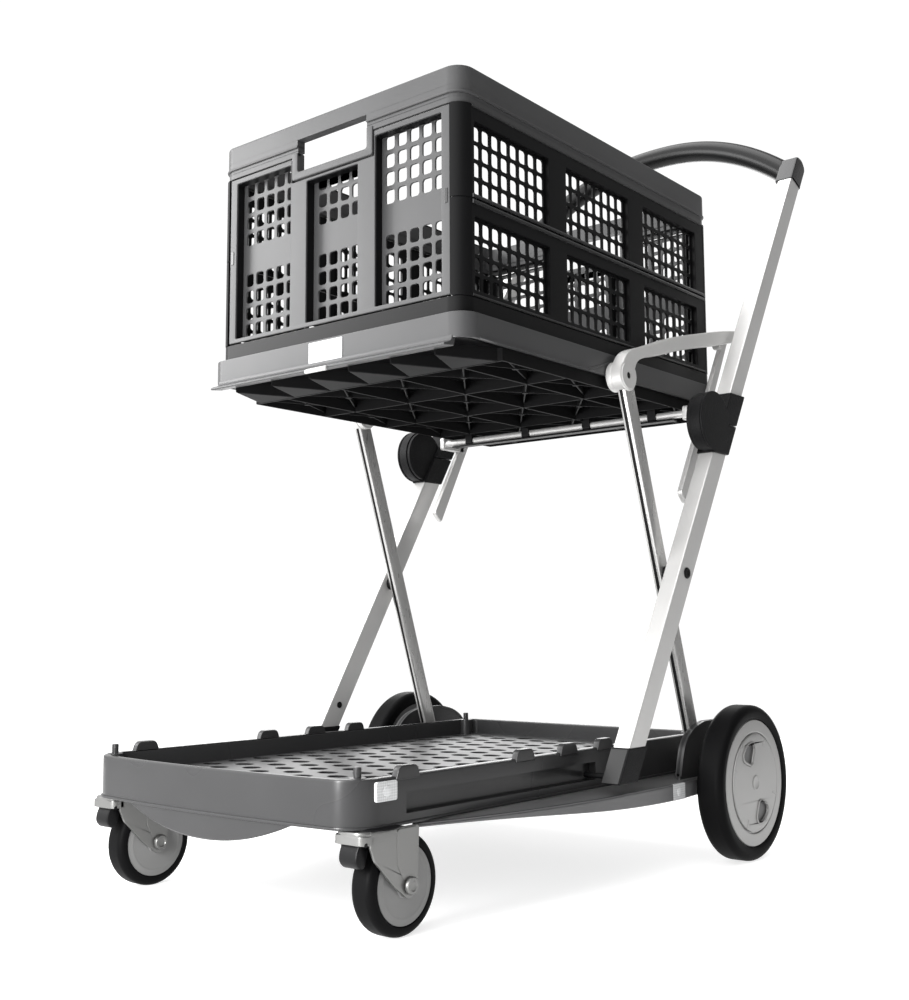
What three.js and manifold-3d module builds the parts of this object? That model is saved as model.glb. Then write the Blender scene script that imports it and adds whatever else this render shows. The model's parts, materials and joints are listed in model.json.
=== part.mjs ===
// Folding shopping trolley with a lift-off crate.
// Millimetres, +X forward (towards the swivel casters), +Y left, +Z up, floor at Z = 0.
// The origin is under the middle of the trolley's outer box.
import * as THREE from 'three';
import { mergeVertices } from 'three/addons/utils/BufferGeometryUtils.js';
import Module from 'manifold-3d';

const wasm = await Module();
wasm.setup();

// ---------------------------------------------------------------- driving dimensions
const GAP = 0.3; // clearance between touching pieces
const SIDES = [['left', 1], ['right', -1]];

const PLATFORM = {
  rear: -200, corner: 446, nose: 454, halfWidth: 195, cornerRadius: 36,
  bottom: 98.8, floorTop: 122, floorThickness: 4, wallTop: 142, sideWall: 13, endWall: 9,
};
const LEDGE = { outer: 240, top: 97.5, rear: -205, front: 361 };
const GROOVE = { bottom: 108, top: 127, rear: 66, front: 377, depth: 9 };
const SKIRT = { bottom: 76, halfWidth: 118, thickness: 5 };
const GUARD = { inner: 220, outer: 225, front: -70, rear: -226, top: 161 };

const REAR_WHEEL = { x: -148, radius: 90, inner: 246, outer: 278.5, rimRadius: 74 };
const AXLE_RADIUS = 6;
const CASTER = { swivelX: 407, y: 179, wheelX: 377, radius: 46, hubRadius: 36, halfTyre: 13 };
const FORK = { inner: 15.5, outer: 18.5, plateBottom: 94, top: 98.2, boltRadius: 4, stemRadius: 5.5 };
const PEDAL = { x: 433, z: 88 };

const LEG_BASE = { x: -132, z: 114 };
const LEG_TOP = { x: 17.5, z: 560.5 };
const LEG = { inner: 203, outer: 215, face: 22, pinRadius: 5 };
const CROSS_Z = 335;
const BAR_SLOPE = THREE.MathUtils.degToRad(58.4);
const BAR = { inner: 222, outer: 243, face: 30, wall: 2 };
const HANDLE_FACE = 28;
const HANDLE_TOP_Z = 932;
const SHOE = { bottom: 108.5, top: 145, pinRadius: 3 };
const HUB = { x: -136, z: 524, radius: 37, inner: 232, outer: 246, boreRadius: 6, low: 485, high: 566 };
const HUB_BAR_END = { below: 3, above: 34 }; // where the two bars stop, from the joint's level
const GRIP = { endZ: 929, crownZ: 1012, crownX: -439.5, height: 31, depth: 28 };
const GRIP_CAP = { front: 10, peak: 17, rear: 12, clearance: 0.5 }; // heights along the bar, from its top

const TRAY = {
  front: 291.4, rear: -252.5, halfWidth: 194.5, radius: 22, top: 588, floor: 561, ribs: 547, lip: 304,
};
const ARM = { inner: 195.4, outer: 217, blade: 202.4, bossRadius: 18 };
const CROSS_TUBE = { x: -152, z: 541, radius: 5, halfLength: 203 };
const CRATE = {
  front: 285.7, rear: -247.3, halfWidth: 187, radius: 20, bottom: 566,
  baseTop: 606, rimBottom: 810, top: 850, middle: 709,
};
const END_WALL = { halfWidth: 170, thickness: 10, bottom: 608, hingeZ: 804.5, inset: 6.7 };
const HAND_HOLE = { halfWidth: 54, bottom: 791, top: 829, frame: 9 };

const THROUGH = [-300, 300]; // across the whole width and more
const BAR_ROOM = [-200, 300]; // along x, past both ends of the bars
const REAR_CORNER_RADIUS = 22;
const LEDGE_SHAPE = {
  shoulder: [[300, 212], [220, 228]], wide: [130, -30], tail: [-70, 236],
  frontLow: 95.5, underside: [[-30, 80], [130, 88], [325, 94]], root: [95.6, 99.5],
};
const GUARD_CURVE = { foot: 3, lean: 4, bend: 146, shoulder: 58 };
const TAB = { xs: [375, 196, 117, 46], foot: 15, head: 9, bottom: 138, top: 151, depth: 8 };
const FRONT_LENS = { x: [391, 419], z: [121.5, 139.5], depth: 3 };
const REAR_LENS = { x: [-47, -19], z: [79, 98], depth: 4 };
const CORNER_PIN = { xs: [424, -170], y: 177.5, baseRadius: 6, radius: 3.5, rise: 10 };
const CASTER_SOCKET = { radius: 14, top: 120, boreTop: 111 };
const AXLE_HALF = 270;
const AXLE_BORE = [-250, 250];
const TYRE_SIDE = { inner: 85, outer: 86, innerShoulder: 8, outerShoulder: 7 };
const RIM = { hub: 18, proud: 3, dish: 256, dishRadius: 66, lip: 273, webRadius: 62, web: 265, nose: 272 };
const WHEEL_CAP = { clearance: 0.6, back: 273.5, edge: 276.5, faceRadius: 62, face: 278.2 };
const CHEEK = { rear: 13, round: 11, slope: [[398, 54], [440, 84]], front: 440, crownRear: 26, stemTop: 109 };
const PEDAL_OUTLINE = [[-5, 3], [4, 3], [14, -5], [15, -14], [7, -16], [-4, -5]];
const PEDAL_PIN = 2;
const FORK_WIDTH = 30;
const AXLE_BOLT = { half: 23, headRadius: 7, head: 4 };
const CASTER_TYRE = { sideRadius: 42, shoulder: 4 };
const CASTER_HUB = { bossRadius: 12, boss: 14.5, recess: 0.8 };
const PIVOT = { radius: 4, head: 6.5, collar: 9, legCollar: 8 };
const SHOE_CUP = { wall: 1.2, floor: 3, below: 80, above: 40, pocket: 60 };
const SLEEVE = { wall: 1.5, split: 0.4, reach: 90, barRoom: 200, clearance: 0.5 };
const RIBS = { lanes: [-135, -45, 45, 135], first: 22, pitch: 118, thickness: 3, nose: 60, side: 4, rear: 6 };
const TRAY_LENS = { y: [-26, 26], z: [562, 586], depth: 3 };
const LATCH = { depth: 4, y: [-16, 16], z: [548, 554] };
const ARM_TOP = [[-60, 614.5], [-150, 641], [-266, 666]];
const ARM_UNDER = [[-250, 645], [-150, 622], [-64, 597]];
const BLADE = { top: 650, foot: 432, behind: 7, ahead: 14, peak: 662, heel: 424, toe: 438, back: 9, half: 12 };
const LUG = { rear: 40, front: 8, z: [532, 550] };
const LEG_SWEEP = [[13, 0], [-12, -75], [-60, -75], [-60, -2], [-4, 13.2]]; // from the leg's top

// ---------------------------------------------------------------- materials
const material = (color, roughness, metalness) =>
  new THREE.MeshStandardMaterial({ color, roughness, metalness });
const BLACK_PLASTIC = material(0x16171a, 0.5, 0);
const GREY_PLASTIC = material(0x4a4b4e, 0.45, 0);
const RIM_PLASTIC = material(0x5c5d60, 0.45, 0);
const ALUMINIUM = material(0xc9c8c6, 0.3, 0.9);
const STEEL = material(0x9a9a9a, 0.35, 0.9);
const RUBBER = material(0x101012, 0.8, 0);
const CAP_SILVER = material(0xa9a8a6, 0.4, 0.4);
const REFLECTOR = material(0xe6e6e6, 0.15, 0);

// ---------------------------------------------------------------- solids from three.js geometry
function solid(geometry) {
  geometry.deleteAttribute('normal');
  geometry.deleteAttribute('uv');
  const merged = mergeVertices(geometry, 1e-3);
  return new wasm.Manifold(new wasm.Mesh({
    numProp: 3,
    vertProperties: Float32Array.from(merged.attributes.position.array),
    triVerts: Uint32Array.from(merged.index.array),
  }));
}

function join(pieces) {
  return pieces.reduce((sum, piece) => sum.add(piece));
}

function node(name, body, look) {
  const mesh = body.getMesh();
  const geometry = new THREE.BufferGeometry();
  geometry.setAttribute('position', new THREE.BufferAttribute(mesh.vertProperties, 3));
  geometry.setIndex(new THREE.BufferAttribute(mesh.triVerts, 1));
  geometry.computeVertexNormals();
  const made = new THREE.Mesh(geometry, look);
  made.name = name;
  return made;
}

function box([x0, x1], [y0, y1], [z0, z1]) {
  const geometry = new THREE.BoxGeometry(x1 - x0, y1 - y0, z1 - z0);
  geometry.translate((x0 + x1) / 2, (y0 + y1) / 2, (z0 + z1) / 2);
  return solid(geometry);
}

// A shape drawn in X and Y, raised from z0 to z1.
function raised(shape, [z0, z1], curveSegments = 6) {
  const geometry = new THREE.ExtrudeGeometry(shape, { depth: z1 - z0, bevelEnabled: false, curveSegments });
  geometry.translate(0, 0, z0);
  return solid(geometry);
}

// A shape drawn in X and Z, as thick as the band y0 to y1.
function slab(shape, [y0, y1], curveSegments = 6) {
  const geometry = new THREE.ExtrudeGeometry(shape, { depth: y1 - y0, bevelEnabled: false, curveSegments });
  geometry.rotateX(Math.PI / 2);
  geometry.translate(0, y1, 0);
  return solid(geometry);
}

// A shape drawn in Y and Z, as long as the stretch x0 to x1.
function alongX(shape, [x0, x1], curveSegments = 6) {
  const geometry = new THREE.ExtrudeGeometry(shape, { depth: x1 - x0, bevelEnabled: false, curveSegments });
  geometry.applyMatrix4(new THREE.Matrix4().set(0, 0, 1, 0, 1, 0, 0, 0, 0, 1, 0, 0, 0, 0, 0, 1));
  geometry.translate(x0, 0, 0);
  return solid(geometry);
}

function polygon(points) {
  return new THREE.Shape(points.map(([a, b]) => new THREE.Vector2(a, b)));
}

function roundedRectangle([a0, a1], [b0, b1], radius) {
  const shape = new THREE.Shape();
  shape.moveTo(a0 + radius, b0);
  shape.lineTo(a1 - radius, b0);
  shape.absarc(a1 - radius, b0 + radius, radius, -Math.PI / 2, 0);
  shape.lineTo(a1, b1 - radius);
  shape.absarc(a1 - radius, b1 - radius, radius, 0, Math.PI / 2);
  shape.lineTo(a0 + radius, b1);
  shape.absarc(a0 + radius, b1 - radius, radius, Math.PI / 2, Math.PI);
  shape.lineTo(a0, b0 + radius);
  shape.absarc(a0 + radius, b0 + radius, radius, Math.PI, 1.5 * Math.PI);
  return shape;
}

// A round bar along Y, centred on x and z.
function rodY(x, z, radius, [y0, y1], segments = 16) {
  const geometry = new THREE.CylinderGeometry(radius, radius, y1 - y0, segments);
  geometry.translate(x, (y0 + y1) / 2, z);
  return solid(geometry);
}

function rodZ(x, y, radius, [z0, z1], segments = 20) {
  const geometry = new THREE.CylinderGeometry(radius, radius, z1 - z0, segments);
  geometry.rotateX(Math.PI / 2);
  geometry.translate(x, y, (z0 + z1) / 2);
  return solid(geometry);
}

// A turned piece on an axis along Y: profile points are [radius, y].
function turned(profile, x, z, segments = 24) {
  const points = profile.map(([radius, y]) => new THREE.Vector2(radius, y));
  const geometry = new THREE.LatheGeometry(points, segments);
  geometry.translate(x, 0, z);
  return outward(solid(geometry), geometry);
}

function outward(body, geometry) {
  if (body.volume() > 0) return body;
  const index = geometry.index.array;
  for (let i = 0; i < index.length; i += 3) {
    [index[i], index[i + 1]] = [index[i + 1], index[i]];
  }
  return solid(geometry);
}

// A span made shorter by the clearance at both ends.
function eased([low, high]) {
  return [low + GAP, high - GAP];
}

// The band between two distances from the middle plane, on the side given by sign.
function band(sign, inner, outer) {
  return sign > 0 ? [inner, outer] : [-outer, -inner];
}

// ---------------------------------------------------------------- lines of the folding frame
const barDirection = new THREE.Vector2(-Math.cos(BAR_SLOPE), Math.sin(BAR_SLOPE));
const barNormal = new THREE.Vector2(barDirection.y, -barDirection.x);
const crossX = THREE.MathUtils.mapLinear(CROSS_Z, LEG_BASE.z, LEG_TOP.z, LEG_BASE.x, LEG_TOP.x);
const cross = new THREE.Vector2(crossX, CROSS_Z);
const barX = (z) => cross.x - (z - cross.y) / Math.tan(BAR_SLOPE);
const hubAlongBar = new THREE.Vector2(HUB.x, HUB.z).sub(cross).dot(barDirection);

// A point at a distance along the bars from the crossing, and to the front of their middle line.
function alongBar(distance, forward = 0) {
  const point = cross.clone().addScaledVector(barDirection, distance).addScaledVector(barNormal, forward);
  return [point.x, point.y];
}

function barOutline(from, to, halfFace) {
  return polygon([
    alongBar(from, -halfFace), alongBar(from, halfFace), alongBar(to, halfFace), alongBar(to, -halfFace),
  ]);
}

// ---------------------------------------------------------------- platform
function platformOutline(inset, endInset) {
  const side = PLATFORM.halfWidth - inset;
  const corner = PLATFORM.corner - endInset;
  const bulge = 2 * (PLATFORM.nose - PLATFORM.corner);
  const rear = PLATFORM.rear + endInset;
  const radius = PLATFORM.cornerRadius - endInset;
  const rearRadius = REAR_CORNER_RADIUS - endInset;
  const shape = new THREE.Shape();
  shape.moveTo(rear + rearRadius, -side);
  shape.lineTo(corner - radius, -side);
  shape.absarc(corner - radius, radius - side, radius, -Math.PI / 2, 0);
  shape.quadraticCurveTo(corner + bulge, 0, corner, side - radius);
  shape.absarc(corner - radius, side - radius, radius, 0, Math.PI / 2);
  shape.lineTo(rear + rearRadius, side);
  shape.absarc(rear + rearRadius, side - rearRadius, rearRadius, Math.PI / 2, Math.PI);
  shape.lineTo(rear, rearRadius - side);
  shape.absarc(rear + rearRadius, rearRadius - side, rearRadius, Math.PI, 1.5 * Math.PI);
  return shape;
}

function platformSkirt() {
  const { bottom, halfWidth, thickness } = SKIRT;
  const rise = PLATFORM.bottom + 1 - bottom;
  const edge = [];
  for (let step = -5; step <= 5; step += 1) {
    edge.push([halfWidth * step / 5, bottom + rise * (step / 5) ** 2]);
  }
  const x1 = PLATFORM.corner;
  return alongX(polygon(edge), [x1 - thickness, x1]);
}

// The running board outside each side wall, which the sliding feet pass over.
function platformLedge(sign) {
  const { outer, top, rear, front } = LEDGE;
  const { shoulder, wide, tail, frontLow, underside } = LEDGE_SHAPE;
  const inner = PLATFORM.halfWidth - 2;
  const plan = polygon([
    [rear, inner], [front, inner], ...shoulder, [wide[0], outer], [wide[1], outer], tail, [rear, tail[1]],
  ].map(([x, y]) => [x, y * sign]));
  const side = polygon([
    [front, frontLow], [front, top], [rear, top], [rear, underside[0][1]], ...underside,
  ]);
  const root = box([rear, front], band(sign, PLATFORM.halfWidth - 9, PLATFORM.halfWidth), LEDGE_SHAPE.root);
  return raised(plan, [70, 110]).intersect(slab(side, band(sign, inner, outer))).add(root);
}

function wheelGuard(sign) {
  const { inner, outer, front, rear, top } = GUARD;
  const { foot, lean, bend, shoulder } = GUARD_CURVE;
  const shape = new THREE.Shape();
  shape.moveTo(front, LEDGE.top - foot);
  shape.quadraticCurveTo(front - lean, bend, front - shoulder, top);
  shape.lineTo(rear + shoulder, top);
  shape.quadraticCurveTo(rear + lean, bend, rear, LEDGE.top - foot);
  return slab(shape, band(sign, inner, outer), 5);
}

function wallTab(x, sign) {
  const { foot, head, bottom, top, depth } = TAB;
  const tab = polygon([[x - foot, bottom], [x + foot, bottom], [x + head, top], [x - head, top]]);
  return slab(tab, band(sign, PLATFORM.halfWidth - depth, PLATFORM.halfWidth));
}

function lensPocket(lens, face, sign) {
  return box(lens.x, band(sign, face - lens.depth, face + 1), lens.z);
}

function sideLens(lens, face, sign) {
  return box(eased(lens.x), band(sign, face - lens.depth + GAP, face + 0.5), eased(lens.z));
}

function platformTray() {
  const { sideWall, endWall, bottom, floorTop, floorThickness, wallTop, halfWidth } = PLATFORM;
  const inside = platformOutline(sideWall, endWall);
  let tray = raised(platformOutline(0, 0), [bottom, wallTop])
    .subtract(raised(inside, [floorTop, wallTop + 1]))
    .subtract(raised(inside, [bottom - 1, floorTop - floorThickness]))
    .add(platformSkirt());
  for (const [, sign] of SIDES) {
    tray = tray.add(platformLedge(sign)).add(wheelGuard(sign));
    for (const x of TAB.xs) {
      tray = tray.add(wallTab(x, sign));
    }
    for (const x of CORNER_PIN.xs) {
      const y = CORNER_PIN.y * sign;
      tray = tray.add(rodZ(x, y, CORNER_PIN.baseRadius, [floorTop - 1, wallTop], 8))
        .add(rodZ(x, y, CORNER_PIN.radius, [wallTop - 1, wallTop + CORNER_PIN.rise], 8));
    }
    const { radius, top, boreTop } = CASTER_SOCKET;
    tray = tray.add(rodZ(CASTER.swivelX, CASTER.y * sign, radius, [bottom, top], 12));
    tray = tray
      .subtract(rodZ(CASTER.swivelX, CASTER.y * sign, FORK.stemRadius + GAP, [bottom - 1, boreTop]))
      .subtract(box([GROOVE.rear, GROOVE.front],
        band(sign, halfWidth - GROOVE.depth, halfWidth + 1), [GROOVE.bottom, GROOVE.top]))
      .subtract(lensPocket(FRONT_LENS, PLATFORM.halfWidth, sign))
      .subtract(lensPocket(REAR_LENS, LEDGE.outer, sign))
      .subtract(rodY(LEG_BASE.x, LEG_BASE.z, LEG.pinRadius + GAP, band(sign, halfWidth - 11, halfWidth + 1)));
  }
  const axleBore = rodY(REAR_WHEEL.x, REAR_WHEEL.radius, AXLE_RADIUS + GAP, AXLE_BORE);
  return tray.subtract(axleBore);
}

function buildPlatform() {
  const parts = [
    node('platform_tray', platformTray(), GREY_PLASTIC),
    node('rear_axle', rodY(REAR_WHEEL.x, REAR_WHEEL.radius, AXLE_RADIUS, [-AXLE_HALF, AXLE_HALF]), STEEL),
  ];
  for (const [label, sign] of SIDES) {
    parts.push(node(`front_side_reflector_${label}`,
      sideLens(FRONT_LENS, PLATFORM.halfWidth, sign), REFLECTOR));
    parts.push(node(`rear_side_reflector_${label}`, sideLens(REAR_LENS, LEDGE.outer, sign), REFLECTOR));
  }
  return parts;
}

// ---------------------------------------------------------------- wheels
function rearWheel(label, sign) {
  const { x, radius, inner, outer, rimRadius } = REAR_WHEEL;
  const { hub, proud, dish, dishRadius, lip, webRadius, web, nose } = RIM;
  const { clearance, back, edge, faceRadius, face } = WHEEL_CAP;
  const at = (distance) => sign * distance;
  const ring = (points) => turned([...points, points[0]].map(([r, d]) => [r, at(d)]), x, radius);
  const tyre = ring([
    [rimRadius, inner], [TYRE_SIDE.inner, inner], [radius, inner + TYRE_SIDE.innerShoulder],
    [radius, outer - TYRE_SIDE.outerShoulder], [TYRE_SIDE.outer, outer], [rimRadius, outer],
  ]);
  const rim = ring([
    [AXLE_RADIUS + GAP, inner - proud], [hub, inner - proud], [hub, dish], [dishRadius, dish],
    [rimRadius - GAP, inner + 1], [rimRadius - GAP, lip], [webRadius, web], [hub, web],
    [AXLE_RADIUS + GAP, nose],
  ]);
  const cap = turned([
    [0, back], [rimRadius - clearance, back], [rimRadius - clearance, edge], [faceRadius, face], [0, face],
  ].map(([r, d]) => [r, at(d)]), x, radius);
  return [
    node(`rear_tyre_${label}`, tyre, RUBBER),
    node(`rear_rim_${label}`, rim, STEEL),
    node(`rear_wheel_cap_${label}`, cap, CAP_SILVER),
  ];
}

function casterFork(y) {
  const cheek = new THREE.Shape();
  const { wheelX, radius, swivelX } = CASTER;
  cheek.moveTo(wheelX - CHEEK.rear, FORK.top);
  cheek.lineTo(wheelX - CHEEK.round, radius);
  cheek.absarc(wheelX, radius, CHEEK.round, Math.PI, 1.8 * Math.PI);
  for (const [x, z] of [...CHEEK.slope, [CHEEK.front, FORK.top]]) {
    cheek.lineTo(x, z);
  }
  const cheeks = [[y - FORK.outer, y - FORK.inner], [y + FORK.inner, y + FORK.outer]]
    .map((place) => slab(cheek, place));
  const crown = box([swivelX - CHEEK.crownRear, CHEEK.front], [y - FORK.outer, y + FORK.outer],
    [FORK.plateBottom, FORK.top]);
  const stem = rodZ(swivelX, y, FORK.stemRadius, [FORK.top - 1, CHEEK.stemTop]);
  const boltHole = rodY(wheelX, radius, FORK.boltRadius + GAP, [y - FORK_WIDTH, y + FORK_WIDTH], 10);
  const pedalHole = rodY(PEDAL.x, PEDAL.z, PEDAL_PIN + GAP, [y - FORK_WIDTH, y + FORK_WIDTH], 12);
  return join([crown, stem, ...cheeks]).subtract(boltHole).subtract(pedalHole);
}

function casterBolt(y) {
  const { wheelX, radius } = CASTER;
  const head = FORK.outer + GAP;
  return join([
    rodY(wheelX, radius, FORK.boltRadius, [y - AXLE_BOLT.half, y + AXLE_BOLT.half], 10),
    rodY(wheelX, radius, AXLE_BOLT.headRadius, [y + head, y + head + AXLE_BOLT.head], 10),
    rodY(wheelX, radius, AXLE_BOLT.headRadius, [y - head - AXLE_BOLT.head, y - head], 10),
  ]);
}

function brakePedal(y) {
  const { x, z } = PEDAL;
  const half = FORK.inner - 0.6;
  const outline = polygon(PEDAL_OUTLINE.map(([a, b]) => [x + a, z + b]));
  return slab(outline, [y - half, y + half]).add(rodY(x, z, PEDAL_PIN, [y - FORK.outer, y + FORK.outer], 12));
}

function caster(label, sign) {
  const y = CASTER.y * sign;
  const { wheelX, radius, hubRadius, halfTyre } = CASTER;
  const { sideRadius, shoulder } = CASTER_TYRE;
  const { bossRadius, boss, recess } = CASTER_HUB;
  const ring = (points) => turned([...points, points[0]].map(([r, d]) => [r, y + d]), wheelX, radius, 22);
  const tyre = ring([
    [hubRadius, -halfTyre], [sideRadius, -halfTyre], [radius, shoulder - halfTyre],
    [radius, halfTyre - shoulder], [sideRadius, halfTyre], [hubRadius, halfTyre],
  ]);
  const boreRadius = FORK.boltRadius + GAP;
  const hub = ring([
    [boreRadius, -boss], [bossRadius, -boss], [hubRadius - GAP, recess - halfTyre],
    [hubRadius - GAP, halfTyre - recess], [bossRadius, boss], [boreRadius, boss],
  ]);
  return [
    node(`caster_fork_${label}`, casterFork(y), STEEL),
    node(`caster_axle_bolt_${label}`, casterBolt(y), ALUMINIUM),
    node(`caster_tyre_${label}`, tyre, RUBBER),
    node(`caster_hub_${label}`, hub, CAP_SILVER),
    node(`brake_pedal_${label}`, brakePedal(y), BLACK_PLASTIC),
  ];
}

// ---------------------------------------------------------------- folding frame
function innerLeg(sign) {
  const half = LEG.face / 2;
  const base = new THREE.Vector2(LEG_BASE.x, LEG_BASE.z);
  const top = new THREE.Vector2(LEG_TOP.x, LEG_TOP.z);
  const angle = top.clone().sub(base).angle();
  const shape = new THREE.Shape();
  shape.absarc(base.x, base.y, half, angle + Math.PI / 2, angle + 1.5 * Math.PI);
  shape.absarc(top.x, top.y, half, angle - Math.PI / 2, angle + Math.PI / 2);
  const place = band(sign, LEG.inner, LEG.outer);
  return slab(shape, place, 8)
    .subtract(rodY(base.x, base.y, LEG.pinRadius + GAP, THROUGH, 10))
    .subtract(rodY(top.x, top.y, PIVOT.radius + GAP, THROUGH, 10))
    .subtract(rodY(cross.x, cross.y, PIVOT.radius + GAP, THROUGH, 10));
}

function legBasePin(sign) {
  return rodY(LEG_BASE.x, LEG_BASE.z, LEG.pinRadius, band(sign, PLATFORM.halfWidth - 10, LEG.outer + 1), 10)
    .add(rodY(LEG_BASE.x, LEG_BASE.z, PIVOT.legCollar, band(sign, LEG.outer + GAP, LEG.outer + 3), 10))
    .add(rodY(LEG_BASE.x, LEG_BASE.z, PIVOT.legCollar,
      band(sign, PLATFORM.halfWidth + GAP, LEG.inner - GAP), 10));
}

function crossBolt(sign) {
  return rodY(cross.x, cross.y, PIVOT.radius, band(sign, LEG.inner + 1, BAR.outer + 1), 10)
    .add(rodY(cross.x, cross.y, PIVOT.head, band(sign, BAR.outer + GAP, BAR.outer + 2), 10))
    .add(rodY(cross.x, cross.y, PIVOT.collar, band(sign, LEG.outer + GAP, BAR.inner - GAP), 10));
}

// A rectangular tube on the bars' line, open at both ends.
function barTube(sign, from, to, face) {
  const hollow = barOutline(from - 1, to + 1, face / 2 - BAR.wall);
  return slab(barOutline(from, to, face / 2), band(sign, BAR.inner, BAR.outer))
    .subtract(slab(hollow, band(sign, BAR.inner + BAR.wall, BAR.outer - BAR.wall)));
}

function mainBar(sign) {
  const foot = -(CROSS_Z - SHOE.bottom) / Math.sin(BAR_SLOPE);
  const below = box(BAR_ROOM, THROUGH, [0, SHOE.bottom + SHOE_CUP.floor]);
  return barTube(sign, foot - 20, hubAlongBar - HUB_BAR_END.below, BAR.face)
    .subtract(below)
    .subtract(rodY(cross.x, cross.y, PIVOT.radius + GAP, THROUGH, 10));
}

// A cup over the bar's lower end, with the stub that slides in the platform's groove.
function footShoe(sign) {
  const { wall, floor, below, above, pocket: room } = SHOE_CUP;
  const foot = -(CROSS_Z - SHOE.top) / Math.sin(BAR_SLOPE);
  const outline = barOutline(foot - below, foot + above, BAR.face / 2 + wall);
  const span = box(BAR_ROOM, THROUGH, [SHOE.bottom, SHOE.top]);
  const pocket = slab(barOutline(foot - below, foot + room, BAR.face / 2 + GAP),
    band(sign, BAR.inner - GAP, BAR.outer + GAP)).intersect(
    box(BAR_ROOM, THROUGH, [SHOE.bottom + floor - GAP, SHOE.top + 1]));
  const stub = rodY(barX(LEG_BASE.z), LEG_BASE.z, SHOE.pinRadius,
    band(sign, PLATFORM.halfWidth - GROOVE.depth + 1, BAR.inner - GAP - 0.1), 12);
  return slab(outline, band(sign, BAR.inner - wall, BAR.outer + wall))
    .intersect(span).subtract(pocket).add(stub);
}

// One half of the folding joint: a cheek on the hinge axis, and a sleeve on the bar's end.
// The lower cheek lies in the bars' own band, and the thin upper cheek covers it outside.
function hubHalf(sign, upper) {
  const lowerLayer = [HUB.inner, BAR.outer];
  const upperLayer = [BAR.outer + GAP, HUB.outer];
  const [own, other] = upper ? [upperLayer, lowerLayer] : [lowerLayer, upperLayer];
  const face = (upper ? HANDLE_FACE : BAR.face) / 2;
  const { wall, split, reach: length, barRoom, clearance } = SLEEVE;
  const reach = upper
    ? [hubAlongBar + split, hubAlongBar + length]
    : [hubAlongBar - length, hubAlongBar - split];
  const barSpan = upper
    ? [hubAlongBar + HUB_BAR_END.above - GAP, hubAlongBar + barRoom]
    : [hubAlongBar - barRoom, hubAlongBar - HUB_BAR_END.below + GAP];
  const barWay = slab(barOutline(...barSpan, face + GAP), band(sign, BAR.inner - GAP, BAR.outer + GAP));
  const level = box([-300, 0], THROUGH, [HUB.low, HUB.high]);
  const sleeve = slab(barOutline(...reach, face + wall), band(sign, BAR.inner - wall, HUB.outer))
    .intersect(level)
    .subtract(rodY(HUB.x, HUB.z, HUB.radius + clearance, band(sign, other[0] - GAP, other[1] + GAP), 28));
  const cheek = rodY(HUB.x, HUB.z, HUB.radius, band(sign, ...own), 28);
  const bore = rodY(HUB.x, HUB.z, HUB.boreRadius + GAP, band(sign, 200, 260), 14);
  const pin = rodY(HUB.x, HUB.z, HUB.boreRadius, band(sign, HUB.inner, HUB.outer), 14);
  const body = sleeve.add(cheek).subtract(barWay);
  return upper ? body.subtract(bore) : body.add(pin);
}

function handleBar(sign) {
  const top = (HANDLE_TOP_Z - CROSS_Z) / Math.sin(BAR_SLOPE);
  return barTube(sign, hubAlongBar + HUB_BAR_END.above, top, HANDLE_FACE);
}

// The bent bow between the two bar tops: an oval swept along a smooth arch.
class GripCurve extends THREE.Curve {
  getPoint(t, target = new THREE.Vector3()) {
    const across = 2 * t - 1;
    const rise = 1 - Math.abs(across) ** 2.2;
    const endX = barX(GRIP.endZ);
    return target.set(
      THREE.MathUtils.lerp(endX, GRIP.crownX, rise),
      across * (BAR.inner - GAP),
      THREE.MathUtils.lerp(GRIP.endZ, GRIP.crownZ, rise),
    );
  }
}

function handleGrip() {
  const section = new THREE.Shape();
  section.absellipse(0, 0, GRIP.depth / 2, GRIP.height / 2, 0, 2 * Math.PI);
  const sweep = { extrudePath: new GripCurve(), steps: 14, curveSegments: 6, bevelEnabled: false };
  return solid(new THREE.ExtrudeGeometry(section, sweep))
    .intersect(box([-600, 0], [-BAR.inner + GAP, BAR.inner - GAP], [800, 1100]));
}

// The cap that closes each bar's top and holds the end of the grip.
function gripEndCap(sign) {
  const top = (HANDLE_TOP_Z - CROSS_Z) / Math.sin(BAR_SLOPE) + GAP;
  const half = HANDLE_FACE / 2 + GRIP_CAP.clearance;
  const outline = polygon([
    alongBar(top, -half), alongBar(top, half), alongBar(top + GRIP_CAP.front, half),
    alongBar(top + GRIP_CAP.peak, 0), alongBar(top + GRIP_CAP.rear, -half),
  ]);
  return slab(outline, band(sign, BAR.inner, BAR.outer + GRIP_CAP.clearance));
}

// ---------------------------------------------------------------- upper tray
function trayRibs() {
  const { front, rear, halfWidth, floor, ribs } = TRAY;
  const pieces = [];
  const { lanes, first, pitch, thickness, nose, side } = RIBS;
  for (let x = rear + first; x < front - nose; x += pitch) {
    pieces.push(box([x, x + thickness], [-halfWidth + side, halfWidth - side], [ribs, floor + 1]));
  }
  for (const y of lanes) {
    pieces.push(box([rear + RIBS.rear, front - nose], [y - thickness / 2, y + thickness / 2],
      [ribs, floor + 1]));
  }
  return join(pieces);
}

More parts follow.
